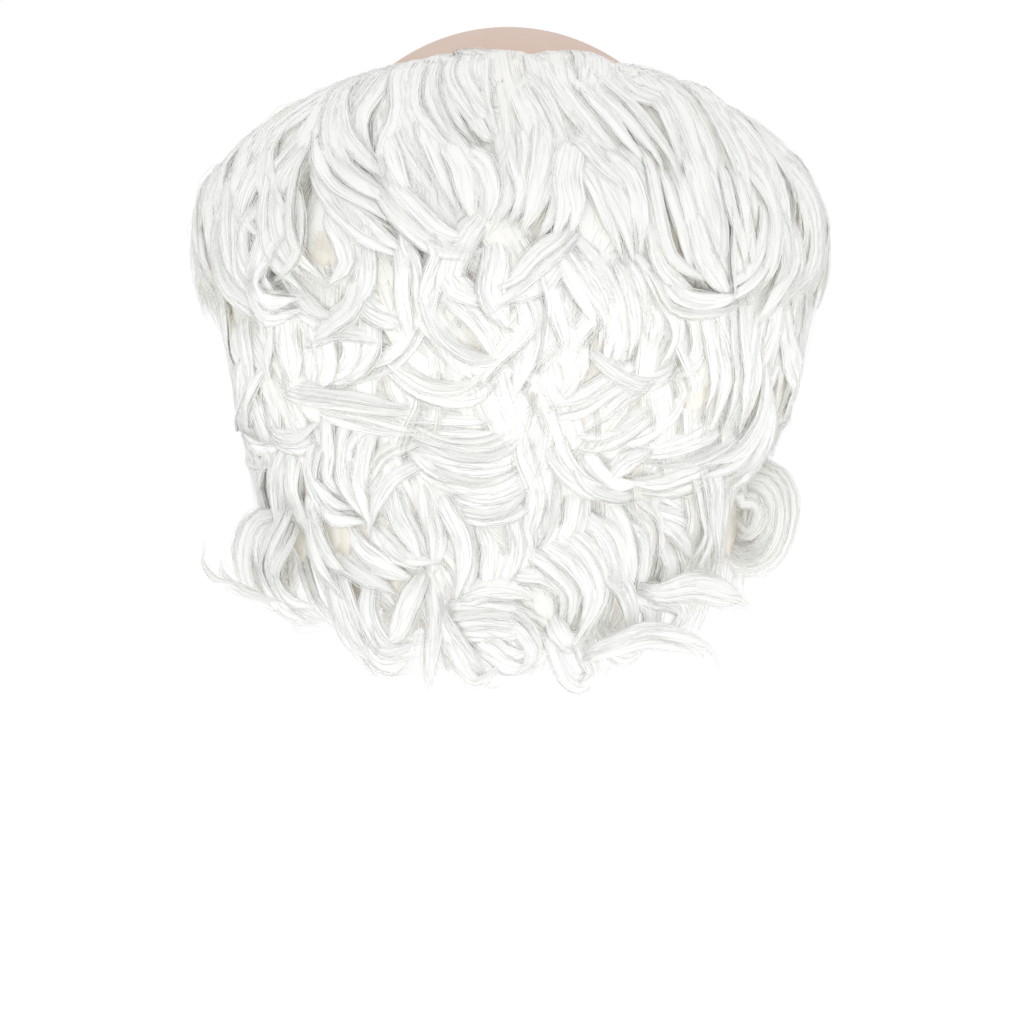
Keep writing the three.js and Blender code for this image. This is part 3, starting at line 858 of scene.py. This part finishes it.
def hair_fibre():
    """White fibre, with painted shade that makes it warmer and darker the deeper it lies. The edges and ends
    of a core break up into streaks, except in the undercoat, which is lapped close."""
    material, wire, shader = new_material("hair_fibre")
    at = wire.add("ShaderNodeUVMap", {"uv_map": FIBRE_MAP}, {})
    tone = wire.add("ShaderNodeSeparateXYZ", {}, {"Vector": at}, output="X")
    along = wire.add("ShaderNodeSeparateXYZ", {}, {"Vector": at}, output="Y")
    band = wire.maths("FLOOR", tone * BANDS, 0)
    around = tone * BANDS - band
    lines = wire.add("ShaderNodeCombineXYZ", {}, {
        "X": around * EDGE_LINES + band * BAND_SHIFT, "Y": along * STREAKS_ALONG,
    })
    streak = wire.add("ShaderNodeTexNoise", {"noise_dimensions": "2D"}, {"Vector": lines, "Scale": 1.0})
    packed = wire.maths("GREATER_THAN", tone, CORE_TONE)
    depth = ((band / BANDS - CORE_TONE) / (1 - CORE_TONE)).limited()
    white = wire.blend(streak.between(0.25, 0.75), colour(251, 252, 250), colour(254, 254, 253))
    # Painted shade: deeper layers are blended towards a darker cream, as if in the shade between curls
    painted_shade = (depth * (depth * PAINTED_SHADE_DEEP + PAINTED_SHADE_FLAT) + depth * (streak - 0.5)).limited()
    fibre = wire.blend(painted_shade, white, colour(228, 214, 184))
    across = wire.maths("ABSOLUTE", wire.maths("SINE", around * (2 * math.pi), 0), 0)
    ends = (along * ROOT_FADE).limited() * ((CORE_END - along) * TIP_FADE).limited()
    lapped = wire.maths("GREATER_THAN", depth, LAPPED_DEPTH) * LAPPED_COVER
    cover = (across * ends * EDGE_COVER - EDGE_START + (streak - 0.5) * EDGE_STREAK + lapped).limited()
    wire.feed(shader, {
        "Base Color": fibre,
        "Roughness": 0.5 + 0.2 * streak,
        "Alpha": 1 - packed * (1 - cover),
        "Specular IOR Level": 0.25,
        "Sheen Weight": 0.5,
        "Sheen Roughness": 0.5,
    })
    return material


HAIR = hair_fibre()
# Each kind's band is its depth of hair, which sets how much painted shade its fibre gets
BODY_STRANDS = {"per_mm": 1.0, "rings": 9, "core": 14, "band": 9}
NAMED_STRANDS = {"per_mm": 1.7, "rings": 11, "core": 16, "band": 8}


def hair_piece(name, curls, strands):
    """A piece of hair made of curls, each a body of packed fibre with strands on it."""
    rng = np.random.default_rng(len(curls))
    bundles = []
    for curl in curls:
        bundles.append(core_tube(curl, rng, strands))
        bundles.append(strand_tubes(curl, rng, strands["per_mm"], strands["rings"]))
    mesh = hair_mesh(name, bundles)
    mesh.materials.append(HAIR)
    piece = bpy.data.objects.new(name, mesh)
    bpy.context.collection.objects.link(piece)
    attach(piece, "root")
    return piece


hair_row_1 = hair_piece("hair_row_1_body", body_curls(ROW_1), BODY_STRANDS)
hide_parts("hair_row_1")
hair_piece("hair_row_1_curls", named_curls(ROW_1, ROW_1_CURLS) + side_curls(ROW_1), NAMED_STRANDS)

# Second row of hair
# The same white fibre on a straight weft, sewn to the net below the first row. Its curls show under the tips
# of the first row and swing to both sides.

ROW_2 = {
    "drop": 60, "end": 108, "dips": False, "fall": 90, "short": 0,
    "side": 32, "lean": 3, "rise": 34, "spring": 0, "seed": 22,
}
ROW_2_CURLS = (
    (-84, 86, -78, 97, -70, 105, -62, 108, 7),
    (-53, 88, -57, 99, -66, 108, -76, 116, 6),
    (-58, 96, -48, 102, -39, 107, -33, 116, 6),
    (-28, 86, -31, 104, -42, 119, -62, 129, 8),
    (-88, 100, -87, 112, -89, 124, -86, 136, 6),
    (-80, 100, -81, 112, -79, 124, -80, 136, 6),
    (-71, 104, -68, 114, -67, 124, -72, 132, 6),
    (-60, 106, -57, 115, -60, 124, -66, 130, 5),
    (-72, 113, -61, 110, -49, 112, -38, 118, 4),
    (-52, 104, -50, 114, -54, 123, -62, 128, 6),
    (-98, 106, -96, 118, -94, 130, -92, 142, 8),
    (-107, 104, -105, 118, -101, 132, -98, 146, 8),
    (-99, 130, -97, 147, -87, 157, -73, 152, 11),
    (-103, 118, -104, 132, -102, 146, -96, 158, 9),
    (-94, 124, -97, 136, -95, 148, -88, 157, 10),
    (-101, 128, -102, 140, -99, 152, -94, 162, 9),
    (-96, 140, -97, 152, -94, 162, -88, 170, 8),
    (97, 136, 95, 149, 90, 160, 82, 168, 9),
    (-90, 138, -86, 148, -77, 150, -68, 144, 9),
    (-80, 131, -58, 135, -38, 139, -16, 142, 8),
    (-66, 139, -48, 144, -32, 147, -16, 147, 7),
    (14, 84, 18, 98, 18, 112, 14, 130, 6),
    (9, 92, 13, 104, 13, 117, 9, 130, 5),
    (5, 96, 8, 106, 7, 118, 3, 130, 5),
    (26, 79, 36, 91, 41, 104, 38, 122, 7),
    (19, 82, 27, 94, 33, 105, 33, 118, 7),
    (17, 92, 22, 104, 24, 115, 21, 128, 6),
    (-20, 97, -12, 104, -6, 112, -3, 124, 7),
    (-28, 99, -22, 110, -12, 118, 1, 119, 6),
    (-24, 108, -20, 118, -14, 126, -8, 132, 6),
    (-44, 122, -29, 132, -14, 132, -2, 121, 8),
    (50, 82, 58, 96, 63, 111, 57, 128, 7),
    (52, 88, 55, 101, 55, 113, 51, 124, 7),
    (43, 86, 47, 98, 49, 110, 46, 122, 7),
    (40, 92, 42, 104, 41, 116, 36, 125, 6),
    (67, 100, 70, 110, 69, 121, 60, 129, 5),
    (76, 100, 77, 114, 79, 128, 76, 142, 10),
    (86, 98, 86, 112, 87, 128, 84, 144, 10),
    (94, 100, 91, 114, 90, 130, 88, 146, 8),
    (104, 102, 104, 120, 105, 136, 98, 149, 9),
    (97, 126, 94, 143, 86, 155, 69, 164, 7),
    (50, 124, 38, 130, 26, 138, 9, 141, 7),
    (36, 119, 44, 126, 54, 128, 65, 122, 6),
)

hair_row_2 = hair_piece("hair_row_2_body", body_curls(ROW_2), BODY_STRANDS)
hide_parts("hair_row_2")
hair_piece("hair_row_2_curls", named_curls(ROW_2, ROW_2_CURLS) + side_curls(ROW_2), NAMED_STRANDS)

# Third row of hair
# The same fibre again. Its locks swing in from both sides to the middle in broad waves, and one at each side
# is wound round into a ring.

ROW_3 = {
    "drop": 100, "end": 108, "dips": False, "fall": 100, "short": 0,
    "side": 29.5, "lean": 0, "rise": 32, "spring": 0, "seed": 33,
}
ROW_3_CURLS = (
    (-48, 140, -27, 143, -6, 144, 9, 137, 8),
    (-36, 145, -20, 150, -4, 150, 9, 141, 7),
    (-32, 152, -17, 157, 0, 156, 11, 147, 7),
    (-26, 160, -10, 164, 4, 160, 12, 151, 7),
    (-18, 170, -6, 171, 5, 166, 12, 157, 6),
    (-16, 177, -4, 178, 6, 172, 12, 162, 7),
    (52, 127, 42, 134, 33, 141, 27, 149, 6),
    (54, 137, 43, 146, 32, 151, 20, 150, 7),
    (66, 133, 59, 142, 49, 148, 38, 152, 7),
    (80, 143, 69, 150, 56, 154, 40, 154, 8),
    (84, 150, 72, 157, 60, 161, 46, 161, 8),
    (76, 160, 66, 165, 54, 168, 42, 168, 8),
    (17, 140, 13, 151, 11, 162, 4, 174, 7),
    (16, 143, 19, 155, 27, 166, 40, 172, 7),
    (26, 154, 31, 163, 40, 168, 52, 168, 8),
    (50, 152, 43, 157, 38, 164, 37, 172, 6),
    (-36, 150, -46, 156, -53, 165, -57, 174, 7),
    (-33, 157, -42, 162, -49, 171, -51, 181, 6),
    (-36, 156, -28, 162, -18, 166, -8, 168, 7),
    (-67, 144, -65, 154, -66, 164, -62, 172, 6),
    (-58, 146, -60, 156, -60, 166, -56, 176, 7),
    (-50, 148, -53, 158, -54, 168, -50, 178, 7),
    (-71, 150, -73, 164, -66, 175, -54, 179, 9),
    (-86, 158, -87, 168, -85, 178, -83, 188, 5),
    (-79, 158, -79, 169, -76, 180, -73, 190, 7),
    (70, 162, 73, 174, 74, 186, 70, 197, 9),
    (80, 156, 79, 168, 78, 180, 80, 193, 8),
    (-84, 156, -85, 170, -83, 184, -78, 198, 9),
    (-70, 168, -72, 180, -70, 192, -64, 203, 9),
    (-75, 174, -71, 183, -67, 192, -61, 199, 6),
    (74, 158, 76, 170, 76, 182, 79, 194, 8),
    (-97, 152, -96, 163, -95, 173, -97, 184, 8),
    (-91, 156, -91, 167, -89, 178, -86, 188, 6),
)

# The ring at each side, in the upright plane that its turn names: drop and height of its middle, how far it
# reaches out and up, how broad it is across that plane, and where its hole lies from its middle
RINGS = (
    {
        "turn": 74, "drop": 181, "height": 32, "out": 13, "tall": 18,
        "width": 14, "hole_out": -2, "hole_up": 3,
    },
    {
        "turn": -74, "drop": 195, "height": 31, "out": 11, "tall": 17,
        "width": 14, "hole_out": -3, "hole_up": 8,
    },
)
RING_SEED = 34
RING_START = 130
RING_SWEEP = 320
RING_INNER = 0.3
RING_LEAD_FALL = (0.0, 0.4, 0.8)
RING_LEAD_OUT = (0.72, 0.86)
RING_PARTS = 15
RING_STEPS = 24
RING_SWEEP_SPREAD = (0.75, 1.1)
RING_SHIFT = 0.5
RING_STRAY = 0.25
RING_CURL = -20
RING_CURL_SPREAD = 10
RING_TILT = (0.0, 0.5)
RING_WIDTH = 9
RING_WIDTH_SPREAD = (0.8, 1.2)
RING_THICK = 3.6
RING_BROAD = (0.8, 0.5)
RING_FADE = 0.8
RING_STRANDS = {"per_mm": 2.5, "rings": 20, "core": 30, "band": 8}


def ring_curls(row, ring, rng):
    """The curls of a ring, one inside another: down from the weft close to the cap, then round."""
    curls = []
    side = np.array([math.cos(math.radians(ring["turn"])), math.sin(math.radians(ring["turn"])), 0])
    for part in range(RING_PARTS):
        reach_share = RING_INNER + (1 - RING_INNER) * (part + rng.uniform(0, 1)) / RING_PARTS
        sweep = RING_SWEEP * rng.uniform(*RING_SWEEP_SPREAD)
        angle = np.radians(RING_START - np.linspace(0, sweep, RING_STEPS))
        inside = 1 - reach_share
        drops = ring["drop"] - ring["hole_up"] * inside - ring["tall"] * reach_share * np.sin(angle)
        heights = ring["height"] + ring["hole_out"] * inside + ring["out"] * reach_share * np.cos(angle)
        lead_drops = [row["drop"] + (drops[0] - row["drop"]) * share for share in RING_LEAD_FALL]
        lead_heights = [ROOT_HEIGHT] + [heights[0] * share for share in RING_LEAD_OUT]
        heights = np.concatenate([lead_heights, heights])
        flat = np.stack([heights, np.concatenate([lead_drops, drops])], axis=1)
        flat += rng.normal(0, RING_SHIFT, 2) + rng.normal(0, RING_STRAY, flat.shape)
        route, _ = smooth_route(flat, RING_CURL + rng.normal(0, RING_CURL_SPREAD), ring["out"])
        shift = side * rng.uniform(-0.5, 0.5) * ring["width"]
        middle = place(ring["turn"], route[:, 1], route[:, 0]) + shift
        along = unit(np.gradient(middle, axis=0))
        tilt = rng.uniform(*RING_TILT)
        across = unit(np.cross(side, along)) * math.cos(tilt) + side * math.sin(tilt)
        curls.append({
            "middle": middle,
            "across": across,
            "up": np.cross(across, along),
            "width": RING_WIDTH * rng.uniform(*RING_WIDTH_SPREAD),
            "thick": RING_THICK,
            "broad": RING_BROAD,
            "deep": RING_BROAD,
            "fade": RING_FADE,
            "edge": 0,
        })
    return curls


ring_rng = np.random.default_rng(RING_SEED)
both_rings = [curl for ring in RINGS for curl in ring_curls(ROW_3, ring, ring_rng)]
hair_row_3 = hair_piece("hair_row_3_body", body_curls(ROW_3), BODY_STRANDS)
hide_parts("hair_row_3")
hair_piece("hair_row_3_curls", named_curls(ROW_3, ROW_3_CURLS) + side_curls(ROW_3), NAMED_STRANDS)
hair_piece("hair_row_3_rings", both_rings, RING_STRANDS)

# Fourth row of hair
# The nape's curls, of the same white fibre, on a short weft that is sewn across the back only. A few tips
# flick out past the rest.

ROW_4 = {
    "drop": 140, "end": 48, "dips": False, "fall": 76, "short": 0,
    "side": 24, "lean": 2, "rise": 30, "spring": 0, "seed": 44,
}
ROW_4_CURLS = (
    (-77, 180, -76, 194, -73, 206, -67, 217, 8),
    (-71, 178, -70, 192, -67, 204, -66, 216, 8),
    (-80, 186, -81, 200, -79, 212, -71, 219, 7),
    (-68, 181, -62, 192, -52, 201, -39, 210, 6),
    (-61, 179, -54, 190, -45, 198, -33, 204, 6),
    (-52, 178, -46, 187, -38, 194, -29, 199, 7),
    (-65, 194, -62, 207, -58, 219, -49, 231, 11),
    (-51, 203, -51, 216, -45, 227, -33, 226, 5),
    (-54, 216, -51, 228, -45, 235, -37, 233, 6),
    (-33, 203, -36, 212, -40, 221, -44, 226, 5),
    (-42, 166, -40, 178, -34, 188, -30, 199, 8),
    (-32, 166, -28, 178, -27, 190, -30, 203, 8),
    (-23, 172, -16, 186, -15, 199, -19, 212, 8),
    (-8, 180, -5, 190, -6, 201, -10, 211, 6),
    (-1, 179, 0, 190, -1, 200, -4, 208, 6),
    (2, 177, 5, 188, 5, 198, 2, 207, 6),
    (10, 164, 10, 174, 8, 184, 10, 194, 7),
    (18, 164, 17, 174, 16, 184, 11, 191, 7),
    (24, 170, 25, 180, 22, 188, 14, 192, 6),
    (2, 198, 13, 200, 21, 208, 19, 219, 6),
    (8, 191, 18, 198, 25, 207, 23, 219, 5),
    (14, 188, 24, 196, 30, 207, 28, 220, 5),
    (20, 184, 30, 194, 34, 207, 27, 227, 7),
    (28, 178, 36, 188, 40, 200, 38, 214, 7),
    (36, 176, 42, 186, 45, 198, 44, 212, 7),
    (44, 177, 50, 187, 50, 199, 47, 212, 7),
    (46, 172, 55, 182, 55, 195, 51, 208, 8),
    (54, 172, 70, 179, 78, 193, 75, 207, 8),
    (57, 180, 66, 186, 70, 196, 67, 206, 6),
    (58, 190, 60, 198, 58, 206, 52, 210, 6),
    (36, 198, 43, 206, 46, 216, 46, 228, 7),
    (48, 206, 53, 213, 53, 221, 48, 227, 7),
    (52, 207, 61, 210, 65, 215, 60, 222, 8),
)

# Tips that flick out past the rest, and a wisp at the left
FLICK_ROW = dict(ROW_4, side=38, lean=0, seed=47)
FLICK_CURLS = (
    (-87, 184, -90, 197, -86, 208, -76, 213, 8),
    (-84, 190, -86, 201, -82, 210, -74, 215, 9),
    (58, 206, 68, 205, 80, 208, 92, 213, 6),
    (38, 227, 50, 223, 62, 225, 74, 229, 7),
)
WISP_ROW = dict(ROW_4, side=54, lean=0, seed=49)
WISP_CURLS = (
    (-92, 208, -98, 206, -103, 203, -107, 199, 1.6),
    (-100, 205, -106, 203, -110, 199, -113, 193, 1.2),
)

hair_row_4 = hair_piece("hair_row_4_body", body_curls(ROW_4), BODY_STRANDS)
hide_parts("hair_row_4")
nape_curls = named_curls(ROW_4, ROW_4_CURLS)
nape_curls += named_curls(FLICK_ROW, FLICK_CURLS)
nape_curls += named_curls(WISP_ROW, WISP_CURLS)
hair_piece("hair_row_4_curls", nape_curls, NAMED_STRANDS)

# Lowest row of hair
# The fringe below the nape's curls, of the same fibre laid thin and fine. It is sewn on with the lowest weft,
# at the edge of the base.

ROW_5 = {
    "drop": 158, "end": 24, "dips": False, "fall": 66, "short": 0,
    "side": 7, "lean": 0, "rise": 25, "spring": 0, "seed": 55,
}
ROW_5_CURLS = (
    (-28, 203, -27, 217, -29, 229, -30, 240, 7),
    (-27, 212, -23, 222, -16, 231, -8, 240, 6),
    (-21, 220, -17, 231, -11, 240, -4, 235, 7),
    (-18, 209, -8, 205, 4, 206, 13, 212, 6),
    (-20, 214, -8, 213, 4, 215, 15, 220, 7),
    (-18, 220, -6, 219, 6, 221, 15, 226, 7),
    (-12, 222, -6, 228, 0, 231, 8, 233, 8),
    (0, 216, 6, 223, 10, 230, 7, 235, 8),
    (15, 226, 21, 238, 29, 242, 33, 231, 3),
    (17, 216, 20, 222, 25, 226, 30, 224, 5),
    (26, 224, 29, 231, 31, 238, 28, 242, 4),
    (36, 222, 40, 228, 45, 230, 49, 226, 5),
)

hair_row_5 = hair_piece("hair_row_5_body", body_curls(ROW_5), BODY_STRANDS)
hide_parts("hair_row_5")
hair_piece("hair_row_5_curls", named_curls(ROW_5, ROW_5_CURLS), NAMED_STRANDS)

# Undercoat
# Short, nearly straight fibre on the same wefts, which lies close under the curls. It fills the spaces
# between them, so that no net shows.

UNDER_SEED = 2
UNDER_STEP = 5.5
UNDER_WIDTH = 17
UNDER_THICK = 5
UNDER_SINK = 4.2
UNDER_BROAD = (0.75, 0.1)
UNDER_FADE = 0.92
UNDER_WAVE = 1.5
# The undercoat's deep band gives it the most painted shade
UNDER_STRANDS = {"per_mm": 0.3, "rings": 7, "core": 12, "band": 12}


def under_curls(row):
    """Plain curls side by side along a weft and well lapped, lower than the row's own."""
    rng = np.random.default_rng(row["seed"] + UNDER_SEED)
    curls = []
    for turn in np.arange(-row["end"], row["end"] + 1, UNDER_STEP):
        root = row_root(row, turn)
        drop = float(weft_drop(row, root)) + row_fall(row, root) * np.linspace(0, 1, ROUTE_STEPS)
        run = drop - drop[0]
        around = turn + UNDER_WAVE * np.sin(2 * np.pi * run / WAVE_LENGTH + rng.uniform(0, 2 * np.pi))
        middle = hair_points(row, around, drop, run, -UNDER_SINK * ease(run / row["rise"]))
        curl = curl_line(middle, outward(around, drop), 0)
        curl.update(width=UNDER_WIDTH, thick=UNDER_THICK, fade=UNDER_FADE, edge=0)
        curl.update(broad=UNDER_BROAD, deep=UNDER_BROAD)
        curls.append(curl)
    return curls


all_under_curls = [curl for row in (ROW_1, ROW_2, ROW_3, ROW_4, ROW_5) for curl in under_curls(row)]
hair_piece("hair_undercoat", all_under_curls, UNDER_STRANDS)

# Wefts
# The sewn tapes that carry the rows: cream cloth with the hair's folded ends stitched across it. The curls
# cover them, except at the crown's edge.

WEFT_COLUMNS = 160
WEFT_LEVELS = 8
WEFT_BULGE = 0.5
WEFT_FIBRES = 420
WEFT_FIBRE_LENGTHS = 2
SEAM_HALF = 0.25
SEAM_FROM = 0.75


def weft_cloth():
    material, wire, shader = new_material("weft_cloth")
    at = wire.add("ShaderNodeUVMap", {"uv_map": "UVMap"}, {})
    across = wire.add("ShaderNodeSeparateXYZ", {}, {"Vector": at}, output="X") * WEFT_FIBRES
    down = wire.add("ShaderNodeSeparateXYZ", {}, {"Vector": at}, output="Y")
    ends = wire.add("ShaderNodeCombineXYZ", {}, {"X": across, "Y": down * WEFT_FIBRE_LENGTHS})
    fibre = wire.add("ShaderNodeTexNoise", {"noise_dimensions": "2D"}, {
        "Vector": ends, "Scale": 1.0, "Detail": 3.0,
    })
    seam = wire.maths("PINGPONG", down, SEAM_HALF) / SEAM_HALF
    sewn = wire.maths("GREATER_THAN", seam, SEAM_FROM)
    tint = wire.blend(fibre.between(0.25, 0.75), colour(190, 168, 132), colour(232, 224, 204))
    wire.feed(shader, {
        "Base Color": wire.blend(sewn * 0.5, tint, colour(236, 230, 214)),
        "Roughness": 0.75 + 0.2 * fibre,
        "Normal": wire.bump(fibre + sewn * 0.6, 0.6, 0.0006),
    })
    return material


def weft_spot(row, round_share, down_share):
    turn = row["end"] * (2 * round_share - 1)
    drop = weft_drop(row, turn) + WEFT_HALF_HEIGHT * (2 * down_share - 1)
    return place(turn, drop, BASE_WALL + WEFT_GAP + WEFT_BULGE * math.sin(math.pi * down_share))


def weft_piece(name, row, cloth):
    piece = mapped_sheet(name, WEFT_COLUMNS, WEFT_LEVELS, partial(weft_spot, row))
    give_wall(piece, WEFT_WALL - WEFT_BULGE)
    piece.data.materials.append(cloth)
    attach(piece, "root")


WEFT_CLOTH = weft_cloth()
for number, row in enumerate((ROW_1, ROW_2, ROW_3, ROW_4, ROW_5), start=1):
    weft_piece(f"weft_{number}", row, WEFT_CLOTH)

# Stage
# A white studio floor in even white light from all round, with a soft lamp over the camera and one above. The
# camera stands behind the wig, level with the middle of the photograph's frame.

FLOOR_DROP = 0.40
FLOOR_SIZE = 8.0
CAMERA_ASIDE = 1.5
LENS = 142.5
SENSOR = 36
LAMPS = (
    {"name": "key", "place": (0.1, -1.7, 0.7), "size": 1.2, "power": 1.4},
    {"name": "top", "place": (0.0, -0.3, 1.4), "size": 1.6, "power": 4.9},
)
AIM = (0.0, 0.0, -0.12)
ROOM_LIGHT = 0.73
LIGHT_BOUNCES = 22
CLEAR_BOUNCES = 64


def floor_white():
    material, wire, shader = new_material("floor_white")
    spot = wire.add("ShaderNodeTexCoord", {}, {}, output="Object")
    grain = wire.add("ShaderNodeTexNoise", {}, {"Vector": spot, "Scale": 60.0, "Detail": 3.0})
    wire.feed(shader, {
        "Base Color": wire.blend(grain, colour(246, 246, 246), colour(250, 250, 250)),
        "Roughness": 0.9,
        "Emission Color": (1.0, 1.0, 1.0, 1.0),
        "Emission Strength": 0.47,
    })
    return material


sheet = bmesh.new()
bmesh.ops.create_grid(sheet, x_segments=1, y_segments=1, size=FLOOR_SIZE / 2)
bmesh.ops.translate(sheet, verts=sheet.verts, vec=(0, 0, -FLOOR_DROP))
floor_mesh = bpy.data.meshes.new("floor")
sheet.to_mesh(floor_mesh)
sheet.free()
floor_mesh.materials.append(floor_white())
floor = bpy.data.objects.new("floor", floor_mesh)
bpy.context.collection.objects.link(floor)


def aimed(thing, target):
    """Turns a lamp to shine at a point."""
    way = Vector(target) - thing.location
    thing.rotation_euler = way.to_track_quat("-Z", "Y").to_euler()


for lamp in LAMPS:
    light = bpy.data.lights.new(lamp["name"], "AREA")
    light.shape = "DISK"
    light.size = lamp["size"]
    light.energy = lamp["power"]
    stand = bpy.data.objects.new(lamp["name"], light)
    stand.location = lamp["place"]
    bpy.context.collection.objects.link(stand)
    aimed(stand, AIM)

world = bpy.data.worlds.new("studio")
world.use_nodes = True
room = Wire(world.node_tree)
seen = room.add("ShaderNodeLightPath", {}, {}, output="Is Camera Ray")
back_wall = world.node_tree.nodes["Background"]
room.feed(back_wall, {"Color": (1.0, 1.0, 1.0, 1.0), "Strength": seen * (1 - ROOM_LIGHT) + ROOM_LIGHT})
bpy.context.scene.world = world

camera = bpy.data.objects.new("camera", bpy.data.cameras.new("camera"))
camera.data.lens = LENS
camera.data.sensor_width = SENSOR
camera.location = (CAMERA_ASIDE * MM, -EYE_BACK * MM, -EYE_DROP * MM)
camera.rotation_euler = (math.pi / 2, 0, 0)
bpy.context.collection.objects.link(camera)
bpy.context.scene.camera = camera
bpy.context.scene.view_settings.view_transform = "Standard"
bpy.context.scene.cycles.diffuse_bounces = LIGHT_BOUNCES
bpy.context.scene.cycles.max_bounces = LIGHT_BOUNCES
bpy.context.scene.cycles.transparent_max_bounces = CLEAR_BOUNCES
